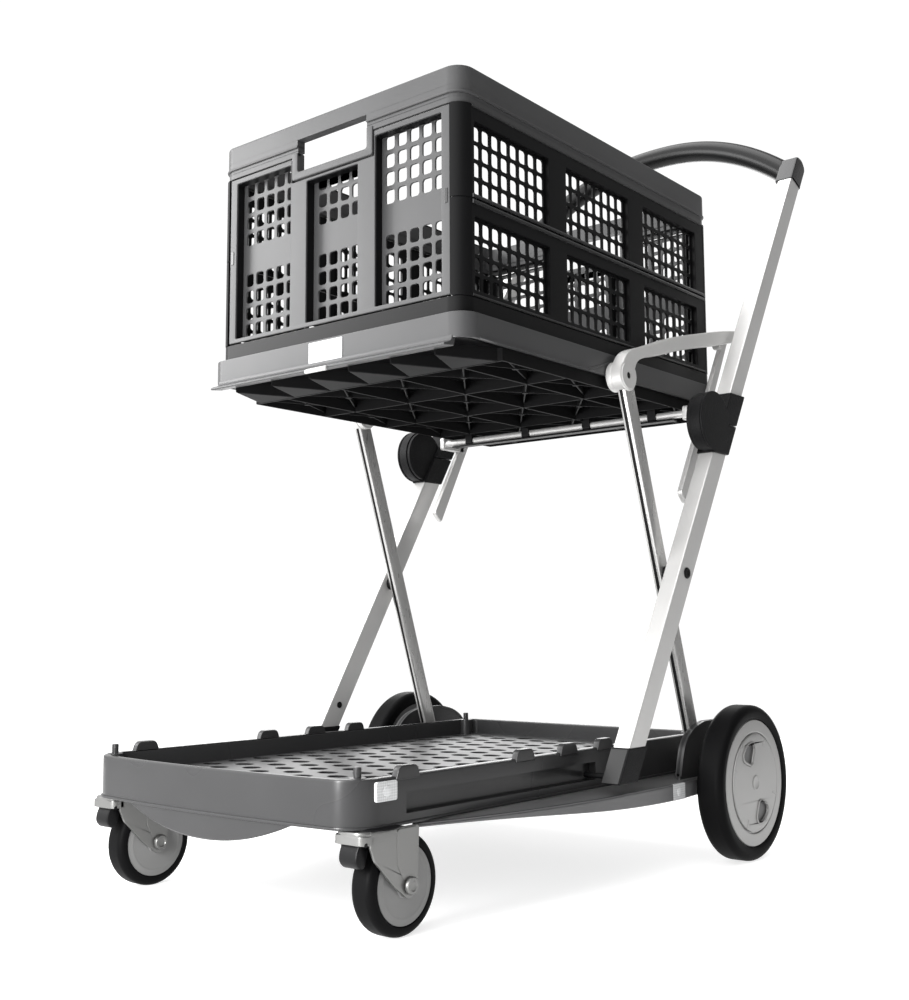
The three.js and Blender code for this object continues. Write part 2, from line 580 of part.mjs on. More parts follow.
function trayPan() {
  const { front, rear, halfWidth, radius, top, floor, ribs, lip } = TRAY;
  const clearance = 0.6;
  const outline = roundedRectangle([rear, front], [-halfWidth, halfWidth], radius);
  const inside = roundedRectangle([CRATE.rear - clearance, CRATE.front + clearance],
    [-CRATE.halfWidth - clearance, CRATE.halfWidth + clearance], radius - 4);
  const noseSide = polygon([
    [front - RIBS.nose, floor + 1], [front - RIBS.nose, ribs], [lip, ribs + 3], [lip, ribs + 6],
    [front - 8, floor + 1],
  ]);
  const nose = slab(noseSide, [-halfWidth + 14, halfWidth - 14]);
  const tubeWay = rodY(CROSS_TUBE.x, CROSS_TUBE.z, CROSS_TUBE.radius + 2, [-210, 210], 10);
  return raised(outline, [floor, top])
    .subtract(raised(inside, [CRATE.bottom - clearance, top + 1]))
    .add(nose)
    .add(trayRibs())
    .subtract(tubeWay)
    .subtract(box([front - TRAY_LENS.depth, front + 1], TRAY_LENS.y, TRAY_LENS.z));
}

// The side frame: the boss on the leg's top, the rising arm, and the blade beside the main bar.
function trayArm(sign) {
  const { inner, outer, blade, bossRadius } = ARM;
  const { x, z } = LEG_TOP;
  const arm = new THREE.Shape();
  arm.moveTo(x + 12, z + 13);
  arm.quadraticCurveTo(x - 20, 604, ...ARM_TOP[0]);
  arm.quadraticCurveTo(...ARM_TOP[1], ...ARM_TOP[2]);
  arm.lineTo(...ARM_UNDER[0]);
  arm.quadraticCurveTo(...ARM_UNDER[1], ...ARM_UNDER[2]);
  arm.quadraticCurveTo(x - 22, 586, x - 14, z + 8);
  const cornerX = barX(BLADE.top) - BLADE.behind;
  const endX = barX(BLADE.foot) - BLADE.behind;
  const bladeSide = polygon([
    [cornerX + BLADE.ahead, BLADE.top], [cornerX - BLADE.back, BLADE.peak],
    [endX - BLADE.half, BLADE.heel], [endX + BLADE.half, BLADE.toe],
  ]);
  const lug = box([CROSS_TUBE.x - LUG.rear, CROSS_TUBE.x + LUG.front], band(sign, inner, blade), LUG.z);
  const legWay = rodY(x, z, LEG.face / 2 + 2, band(sign, blade + GAP, LEG.outer + 0.6), 10);
  const swept = polygon(LEG_SWEEP.map(([a, b]) => [x + a, z + b]));
  const sweepWay = slab(swept, band(sign, blade + GAP, LEG.outer + 0.6));
  return rodY(x, z, bossRadius, band(sign, inner, outer), 24)
    .add(slab(arm, band(sign, blade - 1, outer), 4))
    .add(slab(bladeSide, band(sign, inner, blade)))
    .add(lug)
    .subtract(legWay)
    .subtract(sweepWay)
    .subtract(rodY(x, z, PIVOT.radius + GAP, THROUGH, 12))
    .subtract(rodY(CROSS_TUBE.x, CROSS_TUBE.z, CROSS_TUBE.radius + GAP, THROUGH, 12));
}

function buildUpperTray() {
  const { front } = TRAY;
  const reflector = box([front - TRAY_LENS.depth + GAP, front + 1], eased(TRAY_LENS.y), eased(TRAY_LENS.z));
  const latch = box([TRAY.lip + GAP, TRAY.lip + LATCH.depth], LATCH.y, LATCH.z);
  const tubeSpan = [-CROSS_TUBE.halfLength, CROSS_TUBE.halfLength];
  const tube = rodY(CROSS_TUBE.x, CROSS_TUBE.z, CROSS_TUBE.radius, tubeSpan);
  const parts = [
    node('upper_tray', trayPan(), GREY_PLASTIC),
    node('tray_front_reflector', reflector, REFLECTOR),
    node('tray_front_latch', latch, ALUMINIUM),
    node('tray_cross_tube', tube, ALUMINIUM),
  ];
  for (const [label, sign] of SIDES) {
    parts.push(node(`tray_arm_${label}`, trayArm(sign), ALUMINIUM));
    parts.push(node(`tray_pivot_pin_${label}`,
      rodY(LEG_TOP.x, LEG_TOP.z, PIVOT.radius, band(sign, ARM.inner + 1, ARM.outer - 1), 10), STEEL));
  }
  return parts;
}

// ---------------------------------------------------------------- crate
function crateOutline(inset) {
  return roundedRectangle([CRATE.rear + inset, CRATE.front - inset],
    [-CRATE.halfWidth + inset, CRATE.halfWidth - inset], CRATE.radius - inset * 0.6);
}

function crateBase() {
  return raised(crateOutline(0), [CRATE.bottom, CRATE.baseTop])
    .subtract(raised(crateOutline(6), [CRATE.bottom + 4, CRATE.baseTop + 1]));
}

function crateRim() {
  const { halfWidth, bottom, top, frame } = HAND_HOLE;
  let rim = raised(crateOutline(0), [CRATE.rimBottom, CRATE.top])
    .subtract(raised(crateOutline(12), [CRATE.rimBottom - 1, CRATE.top + 1]));
  for (const [outside, inside] of [[CRATE.front, CRATE.front - 12], [CRATE.rear, CRATE.rear + 12]]) {
    const through = [Math.min(outside, inside) - 2, Math.max(outside, inside) + 2];
    const wall = [Math.min(outside, inside), Math.max(outside, inside)];
    rim = rim
      .add(box(wall, [-halfWidth - frame, halfWidth + frame], [bottom - frame, CRATE.rimBottom + 1]))
      .subtract(box(through, [-halfWidth, halfWidth], [bottom, top]));
  }
  return rim;
}

// Pairs of windows with an upright bar between them, cut through a wall that lies along X or Y.
function windows(axis, centres, halfWindow, rows, bar) {
  const cuts = [];
  const reach = axis === 'y'
    ? [CRATE.rear - 5, CRATE.front + 5]
    : [-CRATE.halfWidth - 5, CRATE.halfWidth + 5];
  for (const centre of centres) {
    for (const [low, high] of rows) {
      for (const across of [[centre - halfWindow, centre - bar], [centre + bar, centre + halfWindow]]) {
        cuts.push(axis === 'y' ? box(reach, across, [low, high]) : box(across, reach, [low, high]));
      }
    }
  }
  return join(cuts);
}

// Half of a long side, folding at mid height, with its share of the corner posts.
function crateSidePanel(sign, [low, high]) {
  const thickness = 8;
  const postDepth = 15.5;
  const place = band(sign, CRATE.halfWidth - thickness, CRATE.halfWidth);
  const post = band(sign, CRATE.halfWidth - postDepth, CRATE.halfWidth);
  const panel = box([CRATE.rear + 4, CRATE.front - 4], place, [low, high]);
  const posts = join([[CRATE.rear, CRATE.rear + 17], [CRATE.front - 17, CRATE.front]]
    .map((span) => box(span, post, [low, high])));
  const middle = (CRATE.front + CRATE.rear) / 2;
  const cuts = windows('x', [middle - 166, middle, middle + 166], 66, [[low + 9, high - 9]], 4);
  return panel.subtract(cuts).add(posts).intersect(raised(crateOutline(0), [low, high]));
}

// An end wall that swings inward on its top edge.
function crateEnd(direction) {
  const { halfWidth, thickness, bottom, hingeZ, inset } = END_WALL;
  const face = direction > 0 ? CRATE.front : CRATE.rear;
  const axisX = face - direction * inset;
  const half = thickness / 2;
  const notch = HAND_HOLE.halfWidth + HAND_HOLE.frame + 1.5;
  const plate = box([axisX - half, axisX + half], [-halfWidth, halfWidth], [bottom, hingeZ])
    .add(rodY(axisX, hingeZ, half, [-halfWidth, halfWidth], 12));
  const cuts = windows('y', [-112, 0, 112], 46, [[618, 694], [716, 770]], 3);
  return plate
    .subtract(box([axisX - 20, axisX + 20], [-notch, notch], [HAND_HOLE.bottom - HAND_HOLE.frame - 1.5, 830]))
    .subtract(cuts);
}

function buildCrate() {
  const parts = [
    node('crate_base', crateBase(), BLACK_PLASTIC),
    node('crate_rim', crateRim(), RIM_PLASTIC),
    node('crate_end_front', crateEnd(1), RIM_PLASTIC),
    node('crate_end_rear', crateEnd(-1), RIM_PLASTIC),
  ];
  for (const [label, sign] of SIDES) {
    parts.push(node(`crate_side_lower_${label}`,
      crateSidePanel(sign, [CRATE.baseTop + GAP, CRATE.middle - GAP]), BLACK_PLASTIC));
    parts.push(node(`crate_side_upper_${label}`,
      crateSidePanel(sign, [CRATE.middle + GAP, CRATE.rimBottom - GAP]), BLACK_PLASTIC));
  }
  return parts;
}

// ---------------------------------------------------------------- the whole trolley
const group = new THREE.Group();
group.add(...buildPlatform(), ...buildUpperTray(), ...buildCrate());
group.add(node('handle_grip', handleGrip(), RUBBER));
for (const [label, sign] of SIDES) {
  group.add(
    ...rearWheel(label, sign),
    ...caster(label, sign),
    node(`inner_leg_${label}`, innerLeg(sign), ALUMINIUM),
    node(`leg_base_pin_${label}`, legBasePin(sign), STEEL),
    node(`cross_pivot_bolt_${label}`, crossBolt(sign), STEEL),
    node(`main_bar_${label}`, mainBar(sign), ALUMINIUM),
    node(`foot_shoe_${label}`, footShoe(sign), BLACK_PLASTIC),
    node(`lower_hub_${label}`, hubHalf(sign, false), BLACK_PLASTIC),
    node(`upper_hub_${label}`, hubHalf(sign, true), BLACK_PLASTIC),
    node(`handle_bar_${label}`, handleBar(sign), ALUMINIUM),
    node(`grip_end_cap_${label}`, gripEndCap(sign), BLACK_PLASTIC),
  );
}

export default group;
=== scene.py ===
"""A folding shopping trolley with a lift-off crate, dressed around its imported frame.

Sizes in this file are millimetres in the frame's own axes; make() turns them into metres.
"""
import json
import math

import bmesh
import bpy
from mathutils import Matrix, Vector
from mathutils.geometry import tessellate_polygon


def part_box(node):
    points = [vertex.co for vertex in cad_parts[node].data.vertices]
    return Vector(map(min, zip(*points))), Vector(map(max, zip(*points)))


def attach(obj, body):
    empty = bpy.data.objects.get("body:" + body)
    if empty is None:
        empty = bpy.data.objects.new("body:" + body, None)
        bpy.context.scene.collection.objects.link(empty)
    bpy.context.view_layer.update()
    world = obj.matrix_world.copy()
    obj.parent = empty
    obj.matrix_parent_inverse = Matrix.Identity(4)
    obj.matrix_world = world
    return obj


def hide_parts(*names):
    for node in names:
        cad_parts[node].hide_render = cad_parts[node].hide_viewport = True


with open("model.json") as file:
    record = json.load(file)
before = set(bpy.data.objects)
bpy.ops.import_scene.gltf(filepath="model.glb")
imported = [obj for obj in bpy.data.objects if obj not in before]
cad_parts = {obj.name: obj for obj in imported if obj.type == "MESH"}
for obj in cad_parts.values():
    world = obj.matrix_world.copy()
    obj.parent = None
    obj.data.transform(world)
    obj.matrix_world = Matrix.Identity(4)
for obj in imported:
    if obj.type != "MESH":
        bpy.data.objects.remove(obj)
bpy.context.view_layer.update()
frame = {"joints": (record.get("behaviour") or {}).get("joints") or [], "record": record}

SIDES = (("left", 1), ("right", -1))
NODE_BODY = {
    node: body
    for body, nodes in frame["record"]["behaviour"]["bodies"].items()
    for node in nodes
}
JOINT_AT = {
    joint["name"]: [1000 * value for value in joint["pos_m"]]
    for joint in frame["joints"]
    if "pos_m" in joint
}


def reach(node):
    """A CAD node's box in millimetres, as three (low, high) pairs."""
    low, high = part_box(node)
    return [(1000 * low[i], 1000 * high[i]) for i in range(3)]


def middle(pair):
    return (pair[0] + pair[1]) / 2


def side_centre(node):
    """The middle of a CAD node's box, seen from the side."""
    (x_span, _, z_span) = reach(node)
    return (middle(x_span), middle(z_span))


def side_point(joint):
    """Where a joint is, seen from the side."""
    return (JOINT_AT[joint][0], JOINT_AT[joint][2])


def band(sign, inner, outer):
    """The stretch between two distances from the middle plane, on the side given by sign."""
    return (inner, outer) if sign > 0 else (-outer, -inner)


def facing(profile, sign, y=0.0):
    """A turned profile whose lengths are measured from y, towards the side given by sign."""
    return [(radius, y + sign * along) for radius, along in profile]


# ------------------------------------------------------------------ flat outlines
def arc(centre, radius, start, end, steps=8):
    """Points on an arc; angles are in degrees, and radius may be a pair for an ellipse."""
    across, up = radius if isinstance(radius, tuple) else (radius, radius)
    turns = [math.radians(start + (end - start) * i / steps) for i in range(steps + 1)]
    return [(centre[0] + across * math.cos(t), centre[1] + up * math.sin(t)) for t in turns]


def circle(centre, radius, steps=48):
    return arc(centre, radius, 0, 360, steps)[:-1]


def rounded(points, radius, steps=4):
    """A polygon with its corners rounded; radius is one number, or one for each corner."""
    radii = radius if isinstance(radius, (list, tuple)) else [radius] * len(points)
    outline = []
    for i, corner in enumerate(points):
        here = Vector(corner)
        back = Vector(points[i - 1]) - here
        ahead = Vector(points[(i + 1) % len(points)]) - here
        half = back.angle(ahead) / 2
        reach_along = min(radii[i] / math.tan(half), 0.48 * back.length, 0.48 * ahead.length)
        if reach_along < 0.01 or half > 1.55:
            outline.append(tuple(here))
            continue
        start = here + back.normalized() * reach_along
        end = here + ahead.normalized() * reach_along
        true_radius = reach_along * math.tan(half)
        bisector = (back.normalized() + ahead.normalized()).normalized()
        centre = here + bisector * true_radius / math.sin(half)
        from_angle = math.atan2(start.y - centre.y, start.x - centre.x)
        sweep = math.atan2(end.y - centre.y, end.x - centre.x) - from_angle
        sweep = (sweep + math.pi) % (2 * math.pi) - math.pi
        for step in range(steps + 1):
            angle = from_angle + sweep * step / steps
            outline.append((centre.x + true_radius * math.cos(angle),
                centre.y + true_radius * math.sin(angle)))
    return outline


def rectangle(a_span, b_span, radius=0.0, steps=4):
    (a0, a1), (b0, b1) = a_span, b_span
    corners = [(a0, b0), (a1, b0), (a1, b1), (a0, b1)]
    return rounded(corners, radius, steps) if radius else corners


def around(centre, half_a, half_b, radius=0.0, steps=4):
    (a, b) = centre
    return rectangle((a - half_a, a + half_a), (b - half_b, b + half_b), radius, steps)


def strip(start, end, half_width):
    """The outline of a straight strip between two points."""
    along = (Vector(end) - Vector(start)).normalized()
    side = Vector((-along.y, along.x)) * half_width
    corners = ((start, 1), (start, -1), (end, -1), (end, 1))
    return [tuple(Vector(point) + way * side) for point, way in corners]


def curve_through(points, steps=6):
    """A smooth line through points, as a Catmull-Rom spline."""
    line = []
    padded = [points[0], *points, points[-1]]
    for i in range(1, len(padded) - 2):
        before, start, end, after = (Vector(padded[i + k]) for k in (-1, 0, 1, 2))
        for step in range(steps):
            t = step / steps
            line.append(tuple(0.5 * (2 * start + (end - before) * t
                + (2 * before - 5 * start + 4 * end - after) * t ** 2
                + (3 * start - before - 3 * end + after) * t ** 3)))
    return [*line, tuple(points[-1])]


# ------------------------------------------------------------------ solids
PLANES = {
    "xy": lambda a, b, h: (a, b, h),
    "xz": lambda a, b, h: (a, h, b),
    "yz": lambda a, b, h: (h, a, b),
}


class Piece:
    """Closed solids that make one mesh."""

    def __init__(self):
        self.points = []
        self.faces = []

    def add(self, points, faces):
        start = len(self.points)
        self.points.extend(points)
        self.faces.extend(tuple(start + i for i in face) for face in faces)


def wound(loop, way):
    area = sum(a[0] * b[1] - b[0] * a[1] for a, b in zip(loop, loop[1:] + loop[:1]))
    return list(loop) if area * way > 0 else list(reversed(loop))


def shrunk(loop, inset):
    """The loop moved into the material, which lies on the left of its direction."""
    if not inset:
        return loop
    moved = []
    for i, (a, b) in enumerate(loop):
        back = Vector((a - loop[i - 1][0], b - loop[i - 1][1])).normalized()
        following = loop[(i + 1) % len(loop)]
        ahead = Vector((following[0] - a, following[1] - b)).normalized()
        left = Vector((-back.y - ahead.y, back.x + ahead.x))
        scale = inset / max(0.35, 1 + back.dot(ahead))
        moved.append((a + left.x * scale, b + left.y * scale))
    return moved


def edge_rings(size, level, way):
    if not size:
        return [(0, level)]
    turns = [math.radians(angle) for angle in (0, 45, 90)]
    return [(size * (1 - math.sin(t)), level + way * size * (1 - math.cos(t))) for t in turns]


def edge_profile(span, foot, head):
    """Inset and level up the side of a solid whose low and high edges are rounded."""
    return edge_rings(foot, span[0], 1) + edge_rings(head, span[1], -1)[::-1]


def slab(piece, outline, span, plane="xy", bevel=1.0, holes=(), foot=None):
    """A flat shape with rounded edges, as thick as span, with holes through it.

    foot is the rounding of the edge on the low side, where it differs from bevel.
    """
    place = PLANES[plane]
    loops = [wound(list(outline), 1)] + [wound(list(hole), -1) for hole in holes]
    rings = edge_profile(span, bevel if foot is None else foot, bevel)
    count = sum(len(loop) for loop in loops)
    points = [place(a, b, level)
        for inset, level in rings for loop in loops for a, b in shrunk(loop, inset)]
    faces = []
    first = 0
    for loop in loops:
        for ring in range(len(rings) - 1):
            for i in range(len(loop)):
                here = ring * count + first + i
                beside = ring * count + first + (i + 1) % len(loop)
                faces.append((here, beside, beside + count, here + count))
        first += len(loop)
    top = (len(rings) - 1) * count
    for triangle in tessellate_polygon([[Vector((a, b, 0)) for a, b in loop] for loop in loops]):
        faces.append(tuple(reversed(triangle)))
        faces.append(tuple(top + i for i in triangle))
    piece.add(points, faces)


TURNS = {
    "y": lambda centre, a, b, along: (centre[0] + a, along, centre[1] + b),
    "z": lambda centre, a, b, along: (centre[0] + a, centre[1] + b, along),
    "x": lambda centre, a, b, along: (along, centre[0] + a, centre[1] + b),
}


def turn(piece, profile, centre, axis="y", segments=64):
    """A turned solid; its (radius, along) points start and end on the axis, or close on themselves."""
    place = TURNS[axis]
    closed = profile[0][0] > 0
    points = []
    starts = []
    for radius, along in profile:
        starts.append(len(points))
        ring = segments if radius > 0 else 1
        points.extend(place(centre, radius * math.cos(2 * math.pi * i / ring),
            radius * math.sin(2 * math.pi * i / ring), along) for i in range(ring))
    faces = []
    pairs = [(i, i + 1) for i in range(len(profile) - 1)]
    if closed:
        pairs.append((len(profile) - 1, 0))
    for near, far in pairs:
        for i in range(segments):
            ahead = (i + 1) % segments
            if profile[near][0] == 0:
                faces.append((starts[near], starts[far] + i, starts[far] + ahead))
            elif profile[far][0] == 0:
                faces.append((starts[near] + i, starts[near] + ahead, starts[far]))
            else:
                faces.append((starts[near] + i, starts[near] + ahead,
                    starts[far] + ahead, starts[far] + i))
    piece.add(points, faces)


def disc(piece, radius, span, centre, axis="y", bevel=0.8, segments=48):
    """A short rod with rounded rims."""
    low, high = span
    rims = [(radius - inset, level) for inset, level in edge_profile(span, bevel, bevel)]
    turn(piece, [(0, low), *rims, (0, high)], centre, axis, segments)


def loft(piece, rings):
    """A skin over rings of points, with flat ends."""
    size = len(rings[0])
    points = [tuple(point) for ring in rings for point in ring]
    faces = []
    last = (len(rings) - 1) * size
    for near in range(0, last, size):
        far = near + size
        for i in range(size):
            ahead = (i + 1) % size
            faces.append((near + i, near + ahead, far + ahead, far + i))
    faces.append(tuple(reversed(range(size))))
    faces.append(tuple(range(last, last + size)))
    piece.add(points, faces)


SHARP_ANGLE = math.radians(38)


def make(piece, name, look, *nodes, body=None):
    """Turns a piece into an object that rides on its first node's body and stands for the nodes."""
    material, slot = look
    mesh = bpy.data.meshes.new(name)
    mesh.from_pydata([(0.001 * x, 0.001 * y, 0.001 * z) for x, y, z in piece.points], [], piece.faces)
    work = bmesh.new()
    work.from_mesh(mesh)
    bmesh.ops.recalc_face_normals(work, faces=work.faces)
    work.to_mesh(mesh)
    work.free()
    mesh.polygons.foreach_set("use_smooth", [True] * len(mesh.polygons))
    mesh.set_sharp_from_angle(angle=SHARP_ANGLE)
    mesh.materials.append(material)
    made = bpy.data.objects.new(name, mesh)
    bpy.context.scene.collection.objects.link(made)
    weighted = made.modifiers.new("even shading", "WEIGHTED_NORMAL")
    weighted.keep_sharp = True
    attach(made, body or NODE_BODY[nodes[0]])
    if nodes:
        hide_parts(*nodes)
    return made


# ------------------------------------------------------------------ materials
def new_material(name):
    material = bpy.data.materials.new(name)
    material.use_nodes = True
    nodes = material.node_tree.nodes
    return material, nodes, material.node_tree.links, nodes["Principled BSDF"]


def noise(nodes, links, scale, detail=4.0, stretch=(1, 1, 1)):
    where = nodes.new("ShaderNodeTexCoord")
    mapping = nodes.new("ShaderNodeMapping")
    mapping.inputs["Scale"].default_value = stretch
    texture = nodes.new("ShaderNodeTexNoise")
    texture.inputs["Scale"].default_value = scale
    texture.inputs["Detail"].default_value = detail
    links.new(where.outputs["Object"], mapping.inputs["Vector"])
    links.new(mapping.outputs["Vector"], texture.inputs["Vector"])
    return texture.outputs["Fac"]


def spread(nodes, links, value, low, high):
    """A noise value stretched over low to high."""
    ranged = nodes.new("ShaderNodeMapRange")
    ranged.inputs["From Min"].default_value = 0.3
    ranged.inputs["From Max"].default_value = 0.7
    ranged.inputs["To Min"].default_value = low
    ranged.inputs["To Max"].default_value = high
    links.new(value, ranged.inputs["Value"])
    return ranged.outputs["Result"]


def tint(nodes, links, value, colour, change):
    """The colour made a little darker and lighter by a noise value."""
    mix = nodes.new("ShaderNodeMix")
    mix.data_type = "RGBA"
    mix.inputs["A"].default_value = (*[part * (1 - change) for part in colour], 1)
    mix.inputs["B"].default_value = (*[min(1, part * (1 + change)) for part in colour], 1)
    links.new(spread(nodes, links, value, 0, 1), mix.inputs["Factor"])
    return mix.outputs["Result"]


def bump(nodes, links, value, strength, distance):
    made = nodes.new("ShaderNodeBump")
    made.inputs["Strength"].default_value = strength
    made.inputs["Distance"].default_value = distance
    links.new(value, made.inputs["Height"])
    return made.outputs["Normal"]


def plastic(name, colour, roughness=0.42, grain=900, depth=0.00004, strength=0.18, change=0.06,
        specular=0.4):
    """Moulded plastic: faint cloudiness, a fine eroded grain, and slightly uneven gloss."""
    material, nodes, links, shader = new_material(name)
    cloud = noise(nodes, links, 14)
    links.new(tint(nodes, links, cloud, colour, change), shader.inputs["Base Color"])
    links.new(spread(nodes, links, noise(nodes, links, 7, 1), roughness - 0.02, roughness + 0.03),
        shader.inputs["Roughness"])
    links.new(bump(nodes, links, noise(nodes, links, grain, 3), strength, depth), shader.inputs["Normal"])
    shader.inputs["Specular IOR Level"].default_value = specular
    return material


def metal(name, colour, roughness, stretch, depth=0.00004, change=0.05, metallic=0.9):
    """Metal with fine lines drawn along it: stretch is small along the lines."""
    material, nodes, links, shader = new_material(name)
    lines = noise(nodes, links, 700, 3, stretch)
    links.new(tint(nodes, links, noise(nodes, links, 9), colour, change), shader.inputs["Base Color"])
    links.new(spread(nodes, links, lines, roughness - 0.02, roughness + 0.03), shader.inputs["Roughness"])
    links.new(bump(nodes, links, lines, 0.25, depth), shader.inputs["Normal"])
    shader.inputs["Metallic"].default_value = metallic
    return material


def reflector_material():
    """Clear moulded reflector: a bright field of small prisms."""
    material, nodes, links, shader = new_material("clear reflector")
    where = nodes.new("ShaderNodeTexCoord")
    cells = nodes.new("ShaderNodeTexVoronoi")
    cells.inputs["Scale"].default_value = 420
    cells.inputs["Randomness"].default_value = 0
    links.new(where.outputs["Object"], cells.inputs["Vector"])
    prisms = cells.outputs["Distance"]
    links.new(tint(nodes, links, prisms, (0.5, 0.505, 0.51), 0.2), shader.inputs["Base Color"])
    links.new(bump(nodes, links, prisms, 0.5, 0.0005), shader.inputs["Normal"])
    shader.inputs["Roughness"].default_value = 0.12
    shader.inputs["Coat Weight"].default_value = 0.5
    return material


PLATFORM_GREY = (plastic("platform grey plastic", (0.025, 0.025, 0.0256), 0.27, specular=0.24),
    "grey_plastic")
# A lighter copy of the platform plastic for the running boards: painted light on their upward-facing tops.
BOARD_PAINTED_LIGHT_GREY = (plastic("running board painted light plastic", (0.09, 0.09, 0.0916), 0.32, specular=0.3),
    "grey_plastic")
# A lighter copy of the foot cup's black plastic for its front face: painted light where the lamps fall on
# that face.
SHOE_FACE_PAINTED_LIGHT = (plastic("foot cup face painted light plastic", (0.012, 0.012, 0.0122), 0.4, specular=0.3), "black_plastic")
# Lighter than the walls of the same moulding: painted light on the upward-facing floor.
FLOOR_PAINTED_LIGHT_GREY = (plastic("platform floor painted light plastic", (0.042, 0.042, 0.0428), 0.42, 600, 0.0001, specular=0.3),
    "grey_plastic")
# Near-black plastic for the cup liners: painted shade on the walls of the floor's dimples.
CUP_PAINTED_SHADE = (plastic("platform cup painted shade plastic", (0.012, 0.012, 0.0125), 0.5, specular=0.1), "grey_plastic")
TRAY_GREY = (plastic("tray grey plastic", (0.048, 0.048, 0.049), 0.34, specular=0.3), "grey_plastic")
# Near-black plastic for the tray's ribs: painted shade on the underside of the grey tray.
RIB_PAINTED_SHADE = (plastic("tray underside painted shade plastic", (0.006, 0.006, 0.0062), 0.55, specular=0.05),
    "grey_plastic")
CRATE_GREY = (plastic("crate grey plastic", (0.05, 0.05, 0.051), 0.38, specular=0.3), "crate_grey")
BLACK = (plastic("black plastic", (0.004, 0.004, 0.0043), 0.4, specular=0.12), "black_plastic")
BASE_BLACK = (plastic("crate base plastic", (0.004, 0.004, 0.0042), 0.36, specular=0.14),
    "black_plastic")
BEAD_BLACK = (plastic("hinge bead plastic", (0.012, 0.012, 0.0125), 0.25, specular=0.5),
    "black_plastic")
HUB_BLACK = (plastic("textured joint plastic", (0.005, 0.005, 0.0054), 0.5, 520, 0.0006, 0.9, specular=0.12),
    "black_plastic")
TYRE = (plastic("tyre rubber", (0.0028, 0.0028, 0.003), 0.5, 500, 0.0001, 0.3, specular=0.04), "tyre")
GRIP = (plastic("grip rubber", (0.0025, 0.0025, 0.0027), 0.27, 700, 0.00002, 0.1, specular=0.2),
    "grip_rubber")
CAP_SILVER = (metal("silver wheel paint", (0.27, 0.268, 0.264), 0.38, (1, 1, 1), metallic=0.5),
    "wheel_plastic")
WHEEL_GREY = (plastic("grey wheel plastic", (0.14, 0.14, 0.138), 0.36), "wheel_plastic")
RIM_GREY = (plastic("rear rim plastic", (0.08, 0.08, 0.08), 0.4), "wheel_plastic")
STEEL = (metal("satin steel", (0.17, 0.17, 0.166), 0.34, (1, 1, 1), 0.00001, metallic=0.8), "steel")
BAR_METAL = (metal("anodised aluminium", (0.52, 0.516, 0.509), 0.42, (0.25, 1, 0.05), 0.00001, metallic=0.45),
    "aluminium")
LEG_METAL = (metal("polished leg aluminium", (0.42, 0.417, 0.41), 0.28, (0.25, 1, 0.05), 0.000002,
    metallic=0.7), "aluminium")
ARM_METAL = (metal("cast aluminium", (0.55, 0.546, 0.538), 0.42, (1, 1, 1), 0.00001, metallic=0.45),
    "aluminium")
REFLECTOR = (reflector_material(), "reflector")

# ------------------------------------------------------------------ platform
WALL = {"half": 195, "rear": -200, "corner": 446, "bulge": 16, "radius": 36, "rear_radius": 22}
WALL_BOTTOM, FLOOR_TOP, WALL_TOP = 98.8, 122, 142
FLOOR_RIB = {"half": 1.5, "low": 100, "high": FLOOR_TOP - 3.8, "y": (-110, -37, 37, 110), "pitch": 85}
CASTER_SOCKET = {"bore": 5.8, "radius": 13.5}
SIDE_WALL, END_WALL_THICK = 13, 9
GROOVE = {"x": (66, 377), "z": (108, 127), "depth": 9}
CUP = {"pitch": 37, "row": 33, "half_x": 10, "half_y": 12, "liner": 1.2}
CUP_SIDES = 16
TAB_X = (375, 196, 117, 46)
PIN_X = (424, -170)
PIN_Y = 177.5
SKIRT = {"low": 76, "bulge": 8, "half": 120, "thickness": 5}


def platform_outline(inset, end_inset, groove=0):
    half = WALL["half"] - inset
    front = WALL["corner"] - end_inset
    rear = WALL["rear"] + end_inset
    radius = WALL["radius"] - end_inset
    back = WALL["rear_radius"] - end_inset
    bow = [((1 - t) ** 2 * front + 2 * t * (1 - t) * (front + WALL["bulge"]) + t * t * front,
        (2 * t - 1) * (half - radius)) for t in (i / 16 for i in range(1, 16))]
    notch = [(GROOVE["x"][0], 0), (GROOVE["x"][0], groove), (GROOVE["x"][1], groove), (GROOVE["x"][1], 0)]
    right = [(x, depth - half) for x, depth in notch] if groove else []
    left = [(x, half - depth) for x, depth in reversed(notch)] if groove else []
    return [
        *right,
        *arc((front - radius, radius - half), radius, -90, 0, 12), *bow,
        *arc((front - radius, half - radius), radius, 0, 90, 12),
        *left,
        *arc((rear + back, half - back), back, 90, 180, 8),
        *arc((rear + back, back - half), back, 180, 270, 8),
    ]


def cup_places():
    places = []
    for row in range(-5, 6):
        shift = CUP["pitch"] / 2 if row % 2 else 0
        for column in range(16):
            places.append((-160 + shift + CUP["pitch"] * column, row * CUP["row"]))
    return places


